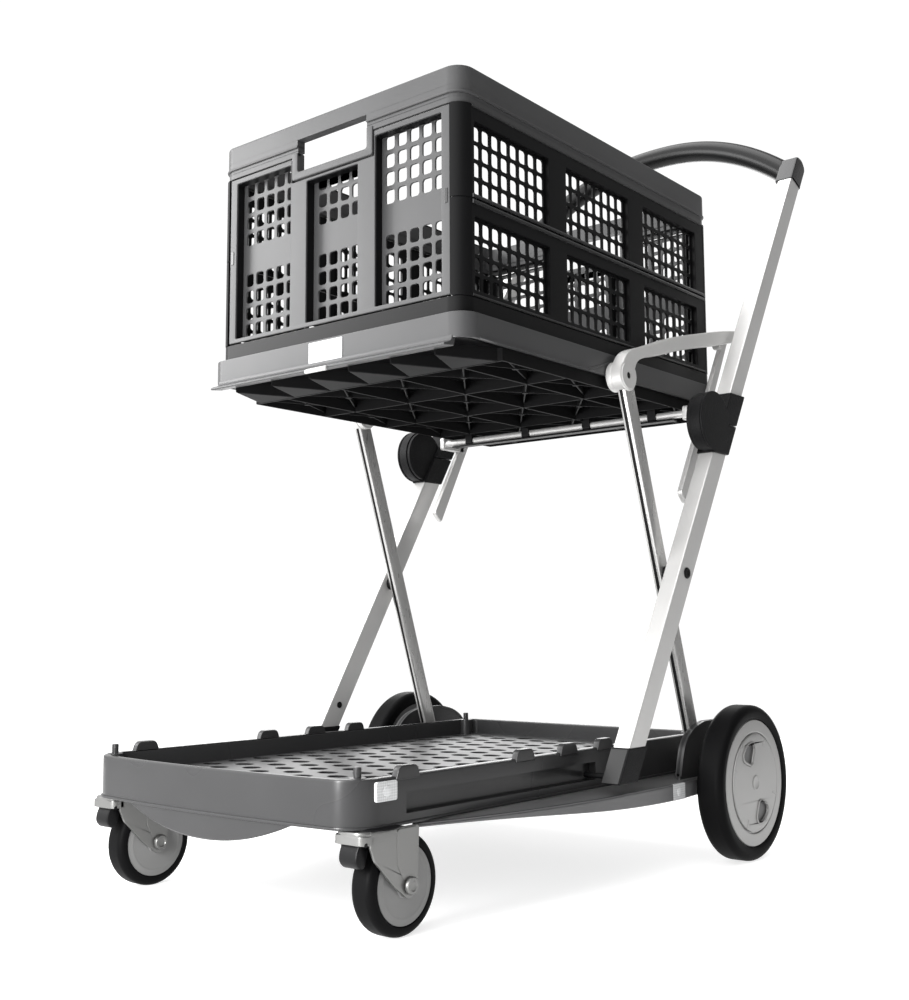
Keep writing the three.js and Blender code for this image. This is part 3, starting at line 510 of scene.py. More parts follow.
def build_platform():
    floor = Piece()
    sheet = platform_outline(SIDE_WALL - 1, END_WALL_THICK - 1)
    cups = [circle(place, (CUP["half_x"], CUP["half_y"]), CUP_SIDES) for place in cup_places()]
    slab(floor, sheet, (FLOOR_TOP - 3.4, FLOOR_TOP), bevel=0.7, holes=cups)
    drains = [around(place, 4, 3, 2, 3) for i, place in enumerate(cup_places()) if i % 7 == 3]
    slab(floor, sheet, (FLOOR_TOP - 4, FLOOR_TOP - 3.3), bevel=0.2, holes=drains)
    rib, rib_span = FLOOR_RIB["half"], (FLOOR_RIB["low"], FLOOR_RIB["high"])
    for y in FLOOR_RIB["y"]:
        slab(floor, rectangle((-188, 432), (y - rib, y + rib)), rib_span, bevel=0.5)
    for x in range(-95, 331, FLOOR_RIB["pitch"]):
        slab(floor, rectangle((x - rib, x + rib), (-181, 181)), rib_span, bevel=0.5)
    for label, _ in SIDES:
        (swivel_x, swivel_y, _) = JOINT_AT[f"caster_swivel_{label}"]
        bore, radius = CASTER_SOCKET["bore"], CASTER_SOCKET["radius"]
        ring = [(bore, WALL_BOTTOM), (radius, WALL_BOTTOM), (radius, FLOOR_RIB["high"]),
            (bore, FLOOR_RIB["high"])]
        turn(floor, ring, (swivel_x, swivel_y), "z")
    # The floor's lighter grey is painted light on its upward-facing top.
    make(floor, "platform_floor", FLOOR_PAINTED_LIGHT_GREY, "platform_tray")
    # A dark liner in each cup hole: painted shade standing for the shadowed walls of the dimples.
    shade_liners = Piece()
    for place in cup_places():
        outer, mouth = (circle(place, (CUP["half_x"] - inset, CUP["half_y"] - inset), CUP_SIDES)
            for inset in (0.1, CUP["liner"]))
        slab(shade_liners, outer, (FLOOR_TOP - 3.5, FLOOR_TOP - 0.3), bevel=0.2, holes=[mouth])
    make(shade_liners, "platform_cup_painted_shade_liners", CUP_PAINTED_SHADE, "platform_tray")

    walls = Piece()
    inside = platform_outline(SIDE_WALL, END_WALL_THICK)
    low, high = GROOVE["z"]
    slab(walls, platform_outline(0, 0), (WALL_BOTTOM, 101.6), bevel=0.9, holes=[inside])
    slab(walls, platform_outline(1.8, 1.8), (101, low), bevel=0, holes=[inside])
    slab(walls, platform_outline(1.8, 1.8, GROOVE["depth"]), (low, high), bevel=0, holes=[inside])
    slab(walls, platform_outline(1.8, 1.8), (high, WALL_TOP), bevel=2.2, foot=0, holes=[inside])
    for _, sign in SIDES:
        for x in TAB_X:
            tab = rounded([(x - 17, 138), (x + 17, 138), (x + 12, 151), (x - 12, 151)], [1, 1, 7, 7], 5)
            slab(walls, tab, band(sign, 187, 194.5), "xz", 1.2)
        for x in PIN_X:
            disc(walls, 3.5, (WALL_TOP - 1, 152), (x, sign * PIN_Y), "z", 0.8, 24)
            disc(walls, 8, (FLOOR_TOP - 1, WALL_TOP + 0.6), (x, sign * PIN_Y), "z", 0.8, 24)
    make(walls, "platform_walls", PLATFORM_GREY, "platform_tray")

    skirt = Piece()
    rings = []
    for step in range(-16, 17):
        share = step / 16
        y = SKIRT["half"] * share
        face = WALL["corner"] - 1.8 + SKIRT["bulge"] * (1 - (y / 159) ** 2)
        back = face - SKIRT["thickness"]
        low_edge = SKIRT["low"] + (WALL_BOTTOM + 1 - SKIRT["low"]) * abs(share) ** 2.1
        rings.append([(back, y, low_edge), (face - 1.2, y, low_edge - 0.4), (face, y, low_edge + 1),
            (face, y, 101), (back, y, 101)])
    loft(skirt, rings)
    make(skirt, "platform_skirt", PLATFORM_GREY, "platform_tray")
    for label, sign in SIDES:
        build_running_board(label, sign)
        build_side_reflectors(label)


def build_running_board(label, sign):
    """The ledge outside a side wall, its deep rear edge, and the upright plate beside the wheel."""
    board = Piece()
    outer = curve_through([(361, 194), (300, 212), (220, 228), (130, 238.5), (40, 240), (-40, 240),
        (-90, 236.5), (-205, 236)], 6)
    slab(board, [(x, sign * y) for x, y in [*outer, (-205, 186), (361, 186)]], (94.2, 97.5), bevel=1.0)
    rings = []
    for x, y in outer:
        depth = 3.6 + 14.4 * math.sin(math.pi / 2 * min(1, max(0, (350 - x) / 370))) ** 2
        low = 97.5 - depth
        rings.append([(x, sign * (y - 4), low + 0.8), (x, sign * (y - 0.9), low), (x, sign * y, low + 1),
            (x, sign * y, 96.6), (x, sign * (y - 0.9), 97.5), (x, sign * (y - 4), 97.5)])
    loft(board, rings)
    # The running board's lighter grey is painted light on its top.
    make(board, f"running_board_{label}", BOARD_PAINTED_LIGHT_GREY, "platform_tray")

    guard = Piece()
    (front, rear, top) = (-63, -226, 161)
    rise = [(front, 104), (front - 11, 136), (front - 32, 153), (front - 60, top)]
    fall = [(rear + 60, top), (rear + 30, 153), (rear + 8, 136), (rear, 104)]
    outline = [(front, 95), *curve_through(rise, 5), *curve_through(fall, 5), (rear, 95)]
    slab(guard, outline, band(sign, 220, 225), "xz", 1.0)
    rim = [(x, z) for x, z in outline if z > 96]
    loft(guard, [[(x, sign * 219, z), (x, sign * 219, z - 3), (x, sign * 227, z - 3), (x, sign * 227, z)]
        for x, z in rim])
    make(guard, f"wheel_guard_{label}", PLATFORM_GREY, "platform_tray")


LENS_BUTTON = [(0, -0.5), (5.5, -0.5), (5, 0.5), (3, 0.8), (0, 0.9)]


def build_side_reflectors(label):
    for node in (f"front_side_reflector_{label}", f"rear_side_reflector_{label}"):
        (x0, x1), (y0, y1), (z0, z1) = reach(node)
        lens = Piece()
        slab(lens, rectangle((x0, x1), (z0, z1), 2), (y0, y1), "xz", 0.7)
        outer, sign = (y1, 1) if y1 > 0 else (y0, -1)
        turn(lens, facing(LENS_BUTTON, sign, outer), side_centre(node))
        make(lens, f"{node}_lens", REFLECTOR, node)


def build_axle_and_pins():
    axle = Piece()
    (x0, x1), span, _ = reach("rear_axle")
    disc(axle, (x1 - x0) / 2, span, side_centre("rear_axle"), "y", 1.2, 32)
    make(axle, "rear_axle_rod", STEEL, "rear_axle")
    for label, sign in SIDES:
        node = f"leg_base_pin_{label}"
        centre = side_centre(node)
        pin = Piece()
        disc(pin, 5, band(sign, 185.5, 216), centre, "y", 0.8, 24)
        disc(pin, 8, band(sign, 195.4, 202.6), centre, "y", 0.8, 32)
        disc(pin, 8, band(sign, 215.4, 218.4), centre, "y", 1, 32)
        make(pin, f"{node}_stud", STEEL, node)


# ------------------------------------------------------------------ wheels
SPOKES = 10
CAP_HOLES = (66, 248)
CAP_TICKS = (118, 199, 298, 19)


def turned_by(centre, radius, angle):
    turn_to = math.radians(angle)
    return (centre[0] + radius * math.cos(turn_to), centre[1] + radius * math.sin(turn_to))


def finger_hole(centre, angle):
    """A rounded triangle near the disc's edge, pointing to its middle."""
    corners = [turned_by(centre, r, angle + aside) for r, aside in ((22, 0), (46, -26), (50, 0), (46, 26))]
    return rounded(corners, [6, 6, 30, 6], 5)


def build_rear_wheel(label, sign):
    _, (y0, y1), (z0, z1) = reach(f"rear_tyre_{label}")
    centre = side_centre(f"rear_tyre_{label}")
    radius = (z1 - z0) / 2
    inner, outer = min(abs(y0), abs(y1)), max(abs(y0), abs(y1))
    rim_radius = 74
    tyre = Piece()
    shoulder = [(r, along) for along, r in arc((inner + 8, radius - 8), 8, 180, 90, 6)]
    far_shoulder = [(r, along) for along, r in arc((outer - 8, radius - 8), 8, 90, 0, 6)]
    turn(tyre, facing([(rim_radius, inner + 0.5), (rim_radius + 4, inner), *shoulder, *far_shoulder,
        (rim_radius + 3, outer - 0.3), (rim_radius, outer - 1.8)], sign), centre, segments=112)
    make(tyre, f"rear_tyre_{label}_tread", TYRE, f"rear_tyre_{label}")

    rim = Piece()
    turn(rim, facing([(66, inner + 1), (73.7, inner + 1), (73.7, 273), (66, 273), (65, 262), (20, 260),
        (7, 272), (6.3, 272), (6.3, 256), (65, 256)], sign), centre, segments=96)
    nave = [(6.3, inner - 3), (17, inner - 3), (18, inner - 2), (18, 257), (6.3, 257)]
    turn(rim, facing(nave, sign), centre)
    ring = [(43, inner + 2), (46, inner + 2), (46, 257), (43, 257)]
    turn(rim, facing(ring, sign), centre, segments=96)
    for spoke in range(SPOKES):
        angle = 2 * math.pi * spoke / SPOKES
        ray = (math.cos(angle), math.sin(angle))
        ends = [(centre[0] + r * ray[0], centre[1] + r * ray[1]) for r in (16, 68)]
        slab(rim, strip(*ends, 1.6), band(sign, inner + 1.5, 257), "xz", 0.6)
    make(rim, f"rear_rim_{label}_spokes", RIM_GREY, f"rear_rim_{label}")

    cap = Piece()
    pockets = Piece()
    turn(cap, facing([(0, 273.6), (73.4, 273.6), (73.4, 275.6), (72.4, 276.9), (60, 277.4), (58.6, 276.9),
        (58, 275.5), (0, 275.5)], sign), centre, segments=112)
    holes = [finger_hole(centre, angle) for angle in CAP_HOLES]
    slab(cap, circle(centre, 56.8, 96), band(sign, 275.2, 278.4), "xz", 1.5, holes)
    for angle in CAP_HOLES:
        lip = wound(finger_hole(centre, angle), 1)
        slab(cap, shrunk(lip, -2.4), band(sign, 278, 279.8), "xz", 1.2, [shrunk(lip, 0.4)])
        slab(pockets, shrunk(lip, 0.2), band(sign, 275.2, 276), "xz", 0.2)
    for angle in CAP_TICKS:
        out, inward = (turned_by(centre, r, angle) for r in (56, 46))
        slab(cap, strip(out, inward, 1.1), band(sign, 278, 278.9), "xz", 0.4)
    button = [(0, 278.2), (9, 278.2), (9, 278.8), (7.5, 279), (6.8, 278.5), (0, 278.5)]
    turn(cap, facing(button, sign), centre)
    make(cap, f"rear_wheel_cap_{label}_disc", CAP_SILVER, f"rear_wheel_cap_{label}")
    make(pockets, f"rear_wheel_cap_{label}_pockets", RIM_GREY, f"rear_wheel_cap_{label}")


FORK_SLOPE = [(397, 47), (422, 72), (428, 84)]


def build_caster(label, sign):
    _, (y0, y1), (z0, z1) = reach(f"caster_tyre_{label}")
    wheel = side_centre(f"caster_tyre_{label}")
    y = middle((y0, y1))
    radius = (z1 - z0) / 2
    half = (y1 - y0) / 2
    hub_radius = 36
    swivel_x = JOINT_AT[f"caster_swivel_{label}"][0]

    tyre = Piece()
    crown = [(r, y + along) for along, r in arc((half - 7, radius - 7), 7, 0, 90, 6)]
    far_crown = [(r, y + along) for along, r in arc((7 - half, radius - 7), 7, 90, 180, 6)]
    turn(tyre, [(hub_radius, y + half - 1), (hub_radius + 1, y + half), *crown, *far_crown,
        (hub_radius + 1, y - half), (hub_radius, y + 1 - half)], wheel, segments=88)
    make(tyre, f"caster_tyre_{label}_tread", TYRE, f"caster_tyre_{label}")

    hub = Piece()
    face = [(4.3, 14.5), (11, 14.5), (12, 13.4), (28, 12.6), (29, 13), (31, 13), (32, 12.4), (35.7, 12.2)]
    turn(hub, facing(face, 1, y) + facing(face, -1, y)[::-1], wheel, segments=88)
    make(hub, f"caster_hub_{label}_disc", WHEEL_GREY, f"caster_hub_{label}")

    fork = Piece()
    cheek = [(364, 98), *arc(wheel, 11, 180, 320, 12), *FORK_SLOPE, (428, 98)]
    hole = circle(wheel, 4.5, 20)
    for side in (-1, 1):
        plate, raised = ([y + level for level in band(side, *gap)] for gap in ((15.5, 18.5), (18, 19.2)))
        slab(fork, rounded(cheek, [3, *[0] * 13, 8, 8, 6, 0], 4), plate, "xz", 0.9, [hole])
        pressed = rounded([(367, 97), (368, 52), (386, 52), (394, 66), (394, 97)], 3)
        slab(fork, pressed, raised, "xz", 0.6)
    crown = rounded([(swivel_x - 26, y - 18.5), (438, y - 18.5), (438, y + 18.5), (swivel_x - 26, y + 18.5)],
        [3, 12, 12, 3])
    slab(fork, crown, (94, 98.2), bevel=1.2)
    nose = [*rounded([(424, y - 18.5), (438, y - 18.5), (438, y + 18.5), (424, y + 18.5)], [0, 12, 12, 0]),
        *rounded([(424, y + 15.8), (435.4, y + 15.8), (435.4, y - 15.8), (424, y - 15.8)], [0, 9.5, 9.5, 0])]
    slab(fork, nose, (87, 95), bevel=0.7)
    disc(fork, 5.4, (97, 109), (swivel_x, y), "z", 0.6, 32)
    make(fork, f"caster_fork_{label}_body", STEEL, f"caster_fork_{label}")

    race = Piece()
    turn(race, [(8, 98.1), (24, 98.1), (25, 98.6), (25, 99.4), (22, 100.4), (8, 100.4)], (swivel_x, y), "z")
    make(race, f"caster_race_{label}", BLACK, body=f"caster_{label}")

    bolt = Piece()
    for side in (-1, 1):
        head = [(0, 14), (4, 14), (4, 18.7), (7.4, 18.7), (8, 19.4), (8, 21.6), (7, 22.9), (4.8, 22.9),
            (4.2, 22.2), (3, 22), (0, 22)]
        turn(bolt, facing(head, side, y), wheel, segments=40)
    disc(bolt, 3.8, (y - 15, y + 15), wheel, "y", 0.3, 24)
    make(bolt, f"caster_axle_bolt_{label}_heads", STEEL, f"caster_axle_bolt_{label}")

    pedal = Piece()
    tread = curve_through([(426, 92.5), (433, 92.5), (434.6, 87), (437.5, 80), (438, 73), (434, 67.5),
        (428, 66.5), (424.5, 72), (422, 83)], 4)
    slab(pedal, tread, (y - 11, y + 11), "xz", 2.4)
    disc(pedal, 1.9, (y - 18.4, y + 18.4), (433, 88), "y", 0.3, 20)
    make(pedal, f"brake_pedal_{label}_tread", BLACK, f"brake_pedal_{label}")


# ------------------------------------------------------------------ folding frame
CROSS = side_point("main_bar_swing")
LEG_BASE = side_point("frame_fold")
LEG_TOP = side_point("tray_level")
HUB = side_point("handle_fold")
BAR_SLOPE = math.radians(58.4)
ALONG = Vector((-math.cos(BAR_SLOPE), math.sin(BAR_SLOPE)))
FORWARD = Vector((ALONG.y, -ALONG.x))
HUB_ALONG = (Vector(HUB) - Vector(CROSS)).dot(ALONG)
BAR = {"inner": 222, "outer": 243, "face": 30, "handle_face": 28}
SHOE_LEVELS = (108.5, 145)
SCREW_LEVEL = 172
HUB_LEVELS = (485, 566)
HANDLE_TOP = (932 - CROSS[1]) / math.sin(BAR_SLOPE)


def on_bar(distance, forward=0.0):
    """A point along the bars' line from the crossing, and to the front of it."""
    return tuple(Vector(CROSS) + ALONG * distance + FORWARD * forward)


def bar_x(z):
    return CROSS[0] - (z - CROSS[1]) / math.tan(BAR_SLOPE)


def level_cut(half_face, low, high):
    """The bar's outline between two levels, cut flat."""
    reach_x = half_face / math.sin(BAR_SLOPE)
    return [(bar_x(low) - reach_x, low), (bar_x(low) + reach_x, low), (bar_x(high) + reach_x, high),
        (bar_x(high) - reach_x, high)]


def bar_outline(start, end, half_face):
    corners = ((start, -1), (start, 1), (end, 1), (end, -1))
    return [on_bar(distance, way * half_face) for distance, way in corners]


def capsule(start, end, half):
    tilt = math.degrees(math.atan2(end[1] - start[1], end[0] - start[0]))
    return [*arc(start, half, tilt + 90, tilt + 270, 14), *arc(end, half, tilt - 90, tilt + 90, 14)]


def build_frame_side(label, sign):
    leg = Piece()
    slab(leg, capsule(LEG_BASE, LEG_TOP, 11), band(sign, 203, 215), "xz", 3.6)
    make(leg, f"inner_leg_{label}_bar", LEG_METAL, f"inner_leg_{label}")
    inlay = Piece()
    slab(inlay, capsule(LEG_BASE, LEG_TOP, 11.2), band(sign, 206.6, 211), "xz", 0.6)
    make(inlay, f"inner_leg_{label}_inlay", BLACK, f"inner_leg_{label}")

    bolt = Piece()
    disc(bolt, 4, band(sign, 204, 244), CROSS, "y", 0.5, 24)
    disc(bolt, 9, band(sign, 215.4, 221.6), CROSS, "y", 0.8, 32)
    profile = [(0, 242), (6.5, 242), (6.5, 244), (5.6, 245), (3.2, 245), (2.6, 244.2), (0, 244.2)]
    turn(bolt, facing(profile, sign), CROSS, segments=32)
    make(bolt, f"cross_pivot_bolt_{label}_head", BLACK, f"cross_pivot_bolt_{label}")

    half = BAR["face"] / 2
    place = band(sign, BAR["inner"], BAR["outer"])
    bar = Piece()
    slab(bar, [*level_cut(half, SHOE_LEVELS[0] + 4, SHOE_LEVELS[0] + 5)[:2], on_bar(HUB_ALONG - 3, half),
        on_bar(HUB_ALONG - 3, -half)], place, "xz", 2.6)
    make(bar, f"main_bar_{label}_tube", BAR_METAL, f"main_bar_{label}")
    screw = Piece()
    disc(screw, 4.2, band(sign, 221, 222.6), (bar_x(SCREW_LEVEL), SCREW_LEVEL), "y", 0.5, 24)
    make(screw, f"main_bar_{label}_screw", BLACK, f"main_bar_{label}")

    shoe = Piece()
    slab(shoe, rounded(level_cut(half + 1.3, *SHOE_LEVELS), 1.6, 3), band(sign, 220.8, 244.2), "xz", 1.6)
    stub = (bar_x(LEG_BASE[1]), LEG_BASE[1])
    disc(shoe, 3, band(sign, 187, 222), stub, "y", 0.5, 20)
    make(shoe, f"foot_shoe_{label}_cup", HUB_BLACK, f"foot_shoe_{label}")
    # The front face plate is a lighter copy of the cup's plastic: painted light on that face.
    face = Piece()
    front = level_cut(half + 1.3, SHOE_LEVELS[0] + 1.5, SHOE_LEVELS[1] - 1.5)
    plate = [(x - 1, z) for x, z in front[1:3]] + [(x + 0.9, z) for x, z in reversed(front[1:3])]
    slab(face, plate, band(sign, 222.2, 242.6), "xz", 0.4)
    make(face, f"foot_shoe_{label}_face", SHOE_FACE_PAINTED_LIGHT, f"foot_shoe_{label}")
    build_folding_joint(label, sign)

    handle = Piece()
    slab(handle, bar_outline(HUB_ALONG + 34, HANDLE_TOP, BAR["handle_face"] / 2), place, "xz", 2.6)
    make(handle, f"handle_bar_{label}_tube", BAR_METAL, f"handle_bar_{label}")

    cap = Piece()
    cap_half = BAR["handle_face"] / 2 + 1
    corners = ((-30, -cap_half), (-36, cap_half), (10, cap_half), (17, 0), (12, -cap_half))
    sleeve = [on_bar(HANDLE_TOP + beyond, forward) for beyond, forward in corners]
    slab(cap, rounded(sleeve, [1, 1, 9, 14, 9], 6), band(sign, 218, 244), "xz", 3)
    make(cap, f"grip_end_cap_{label}_sleeve", PLATFORM_GREY, f"grip_end_cap_{label}")


def build_folding_joint(label, sign):
    """Two halves that turn on each other: a drum in front of the bar, and a block around it."""
    low, high = HUB_LEVELS
    half, block = BAR["face"] / 2 + 1.6, band(sign, 220.4, 245.6)
    lower = Piece()
    disc(lower, 36.6, band(sign, 229, 242.9), HUB, "y", 1.6, 96)
    slab(lower, rounded(level_cut(half, low, HUB[1] - 0.5), 1.5), block, "xz", 1.5)
    make(lower, f"lower_hub_{label}_half", HUB_BLACK, f"lower_hub_{label}")
    upper = Piece()
    disc(upper, 37, band(sign, 243.1, 246), HUB, "y", 1.0, 96)
    disc(upper, 35, band(sign, 224, 228.8), HUB, "y", 1.0, 96)
    slab(upper, rounded(level_cut(half, HUB[1] + 0.5, high), 1.5), block, "xz", 1.5)
    make(upper, f"upper_hub_{label}_half", HUB_BLACK, f"upper_hub_{label}")


GRIP_END_Z, GRIP_CROWN_Z, GRIP_CROWN_X = 929, 1012, -439.5
GRIP_HALF = {"depth": 14, "height": 15.5, "reach": 221.6}


def grip_centre(share):
    """A point on the grip's middle line; share runs from -1 to 1 across the trolley."""
    rise = 1 - abs(share) ** 2.2
    end_x = bar_x(GRIP_END_Z)
    return Vector((end_x + (GRIP_CROWN_X - end_x) * rise, share * GRIP_HALF["reach"],
        GRIP_END_Z + (GRIP_CROWN_Z - GRIP_END_Z) * rise))


def grip_ring(share, steps=40):
    """The oval section of the grip, held within the gap between the two bar tops."""
    centre = grip_centre(share)
    tangent = (grip_centre(min(1, share + 0.01)) - grip_centre(max(-1, share - 0.01))).normalized()
    depth_way = (Vector((1, 0, 0)) - tangent * tangent.x).normalized()
    height_way = tangent.cross(depth_way)
    ring = []
    for step in range(steps):
        turn_by = 2 * math.pi * step / steps
        point = (centre + depth_way * GRIP_HALF["depth"] * math.cos(turn_by)
            + height_way * GRIP_HALF["height"] * math.sin(turn_by))
        point.y = max(-GRIP_HALF["reach"], min(GRIP_HALF["reach"], point.y))
        ring.append(tuple(point))
    return ring


def build_grip():
    grip = Piece()
    loft(grip, [grip_ring(math.sin(math.pi / 2 * step / 48)) for step in range(-48, 49)])
    make(grip, "handle_grip_sleeve", GRIP, "handle_grip")


# ------------------------------------------------------------------ upper tray
(TRAY_X, TRAY_Y, _) = reach("crate_base")
TRAY_OUT = {"x": (-252.5, 291.4), "half": 194.5, "radius": 22}
TRAY_LEVELS = {"rib": 547, "floor": 561, "top": 588}


def build_tray_pan():
    pan = Piece()
    x0, x1 = TRAY_OUT["x"]
    half = TRAY_OUT["half"]
    outline = rectangle((x0, x1), (-half, half), TRAY_OUT["radius"], 10)
    clear = 0.6
    inside = rectangle((TRAY_X[0] - clear, TRAY_X[1] + clear), (TRAY_Y[0] - clear, TRAY_Y[1] + clear), 18, 10)
    slab(pan, outline, (TRAY_LEVELS["floor"], TRAY_LEVELS["top"]), bevel=1.3, holes=[inside])
    brow = TRAY_LEVELS["floor"] + 4
    nose = rounded([(x1 - 6, brow), (x1, brow), (x1 + 1, 558), (x1 + 12.6, 553.6), (x1 + 12.6, 550.8),
        (x1 - 4, 553)], [1, 4, 8, 1.2, 1, 1], 4)
    slab(pan, nose, (-half + 16, half - 16), "xz", 1.5)
    for _, sign in SIDES:
        edge = curve_through([(x1 - 24, 562.5), (200, 562.5), (80, 562.5), (66, 563.5), (20, 578), (0, 584),
            (-20, 585.5)], 5)
        root, crest = sign * (half - 1.5), sign * (half + 1.3)
        loft(pan, [[(x, root, z + 1.4), (x, crest, z + 0.9), (x, crest, z - 0.9), (x, root, z - 1.4)]
            for x, z in edge])
    make(pan, "upper_tray_pan", TRAY_GREY, "upper_tray")

    # The tray's floor sheet is black from below: painted shade on the grey tray's underside.
    under = Piece()
    sheet = rectangle((x0 + 3, x1 - 2), (-half + 3, half - 3), 18, 8)
    slab(under, sheet, (TRAY_LEVELS["floor"], 565.4), bevel=0.8)
    make(under, "upper_tray_painted_shade_floor", BLACK, "upper_tray")
    build_tray_ribs(x0, x1, half)


def build_tray_ribs(x0, x1, half):
    # The ribs' near-black plastic is painted shade under the tray.
    ribs = Piece()
    low, high = TRAY_LEVELS["rib"], TRAY_LEVELS["floor"] + 0.5
    front_rib = x1 - 70
    lanes = (-half + 6, -135, -45, 45, 135, half - 6)
    for y in lanes:
        slab(ribs, strip((x0 + 6, y), (front_rib, y), 1.4), (low, high), bevel=0.4)
    crossings = [x0 + 6 + (front_rib - x0 - 6) * step / 4 for step in range(5)]
    for x in crossings:
        slab(ribs, strip((x, -half + 5), (x, half - 5), 1.5), (low, high), bevel=0.4)
    for near, far in zip(crossings, crossings[1:]):
        for right, left in zip(lanes, lanes[1:]):
            centre = ((near + far) / 2, (right + left) / 2)
            for corner in ((near, right), (near, left), (far, right), (far, left)):
                slab(ribs, strip(corner, centre, 0.9), (low + 5, high), bevel=0.3)
            disc(ribs, 4, (low + 4, high), centre, "z", 0.5, 20)
    teeth = 6
    pitch = (2 * half - 24) / teeth
    for tooth in range(teeth):
        right = -half + 12 + pitch * tooth
        points = [(front_rib, right), (x1 - 5, right + pitch / 2), (front_rib, right + pitch)]
        slab(ribs, points, (low + 0.4, low + 2.4), bevel=0.5)
        for corner in (points[0], points[2]):
            slab(ribs, strip(corner, points[1], 0.9), (low + 1, high), bevel=0.3)
    make(ribs, "upper_tray_ribs", RIB_PAINTED_SHADE, "upper_tray")


def build_tray_fittings():
    (x0, x1), (y0, y1), (z0, z1) = reach("tray_front_reflector")
    lens = Piece()
    slab(lens, rectangle((y0, y1), (z0, z1), 1.2), (x0, x1), "yz", 0.6)
    make(lens, "tray_front_reflector_lens", REFLECTOR, "tray_front_reflector")
    (x0, x1), (y0, y1), (z0, z1) = reach("tray_front_latch")
    latch = Piece()
    slab(latch, rounded([(x0, z0), (x1, z0), (x1, z0 + 3), (x0 + 1, z1)], 0.8), (y0, y1), "xz", 0.8)
    make(latch, "tray_front_latch_bar", ARM_METAL, "tray_front_latch")

    span = reach("tray_cross_tube")[1]
    centre = side_centre("tray_cross_tube")
    tube = Piece()
    disc(tube, 4.6, span, centre, "y", 0.8, 40)
    make(tube, "tray_cross_tube_rod", BAR_METAL, "tray_cross_tube")
    clips = Piece()
    for y in (-150, -50, 50, 150):
        below, foot = centre[1] - 4, centre[1] - 6.2
        corners = ((-8, 562), (8, 562), (6.5, below), (3, foot), (-3, foot), (-6.5, below))
        clip = [(centre[0] + x, z) for x, z in corners]
        slab(clips, rounded(clip, [0.5, 0.5, 3, 3, 3, 3]), (y - 6, y + 6), "xz", 0.8)
    slab(clips, rectangle((centre[0] - 6, centre[0] + 6), (centre[1] - 7.6, centre[1] - 5.4)),
        (span[0] + 22, span[1] - 22), "xz", 0.6)
    make(clips, "tray_tube_clips", BLACK, body="upper_tray")


ARM = {"inner": 195.4, "outer": 217, "blade": 202.4, "boss": 18}


def build_tray_arm(label, sign):
    """The side frame: a boss on the leg's top, the rising arm, and the blade inside the main bar."""
    (bx, bz) = LEG_TOP
    arm = Piece()
    upper = curve_through([(bx + 13.5, bz + 12), (bx - 2, bz + 29), (-27, 603.5), (-94, 626), (-160, 643),
        (-216, 656.5), (-262, 665.5)], 7)
    lower = curve_through([(-246, 645.5), (-205, 635), (-160, 624.5), (-100, 609.5), (-57, 596.5),
        (-22, 588), (-4, 579.5), (bx - 14.5, bz + 8)], 7)
    slab(arm, [*upper, *lower], band(sign, ARM["blade"] - 1.5, ARM["outer"]), "xz", 3.2)
    boss = ARM["boss"]
    drum = [(4.2, 202.6), (boss - 1, 202.6), (boss, 203.6), (boss, 215.2), (boss - 0.8, 216.2),
        (boss - 2.2, 216.6), (boss - 2.6, 217.2), (5, 217.2), (4.2, 216.6)]
    turn(arm, facing(drum, sign), LEG_TOP, segments=72)
    disc(arm, boss - 0.5, band(sign, 195.6, 202.8), LEG_TOP, "y", 1, 64)
    make(arm, f"tray_arm_{label}_frame", ARM_METAL, f"tray_arm_{label}")

    blade = Piece()
    corner_x = bar_x(650) - 7
    end_x = bar_x(432) - 7
    side = rounded([(corner_x + 10, 650), (corner_x - 9, 662), (end_x - 14, 424), (end_x, 438)], [2, 2, 3, 6])
    slab(blade, side, band(sign, ARM["inner"], ARM["blade"]), "xz", 1.4)
    slab(blade, rectangle((-192, -144), (532, 550), 3), band(sign, ARM["inner"], ARM["blade"]), "xz", 1.2)
    knob = (bar_x(640) + 22, 640)
    disc(blade, 6, band(sign, ARM["blade"] - 1, ARM["outer"] - 5), knob, "y", 1.5, 24)
    make(blade, f"tray_arm_{label}_blade", BAR_METAL, f"tray_arm_{label}")

    node = f"tray_pivot_pin_{label}"
    pin = Piece()
    disc(pin, 4.1, band(sign, 196.4, 215.8), LEG_TOP, "y", 0.3, 24)
    make(pin, f"{node}_stud", BLACK, node)


# ------------------------------------------------------------------ crate
CRATE_X, CRATE_Y, (CRATE_BOTTOM, _) = reach("crate_base")
RIM_Z = reach("crate_rim")[2]
CRATE = {"radius": 20, "base_top": 606, "rim": 810}
HAND_HOLE = {"half": 54, "z": (791, 829), "frame": 9}
CELL = {"pitch": 17.5, "half": 6.3, "row": 20.2, "half_height": 7.6, "corner": 3.2}


def crate_outline(inset):
    return rectangle((CRATE_X[0] + inset, CRATE_X[1] - inset), (CRATE_Y[0] + inset, CRATE_Y[1] - inset),
        CRATE["radius"] - 0.5 * inset, 10)


RIM_WALL = 12
SWING_ROOM = {"wall": 5.5, "top": 816}


def rim_side(sign, inset, end_wall=RIM_WALL):
    """One long side of the rim with its two corners, ending beside the hand holes."""
    gap = HAND_HOLE["half"]
    half = CRATE_Y[1] - inset
    wall = RIM_WALL - inset
    end = end_wall - inset
    r_out = CRATE["radius"] - 0.5 * inset
    r_in = CRATE["radius"] - 0.5 * RIM_WALL
    x0, x1 = CRATE_X[0] + inset, CRATE_X[1] - inset
    outside = [(x1, gap), *arc((x1 - r_out, half - r_out), r_out, 0, 90, 10),
        *arc((x0 + r_out, half - r_out), r_out, 90, 180, 10), (x0, gap)]
    inner_half = half - wall
    inside = [(x0 + end, gap), *arc((x0 + end + r_in, inner_half - r_in), r_in, 180, 90, 8),
        *arc((x1 - end - r_in, inner_half - r_in), r_in, 90, 0, 8), (x1 - end, gap)]
    return [(x, sign * y) for x, y in outside + inside]


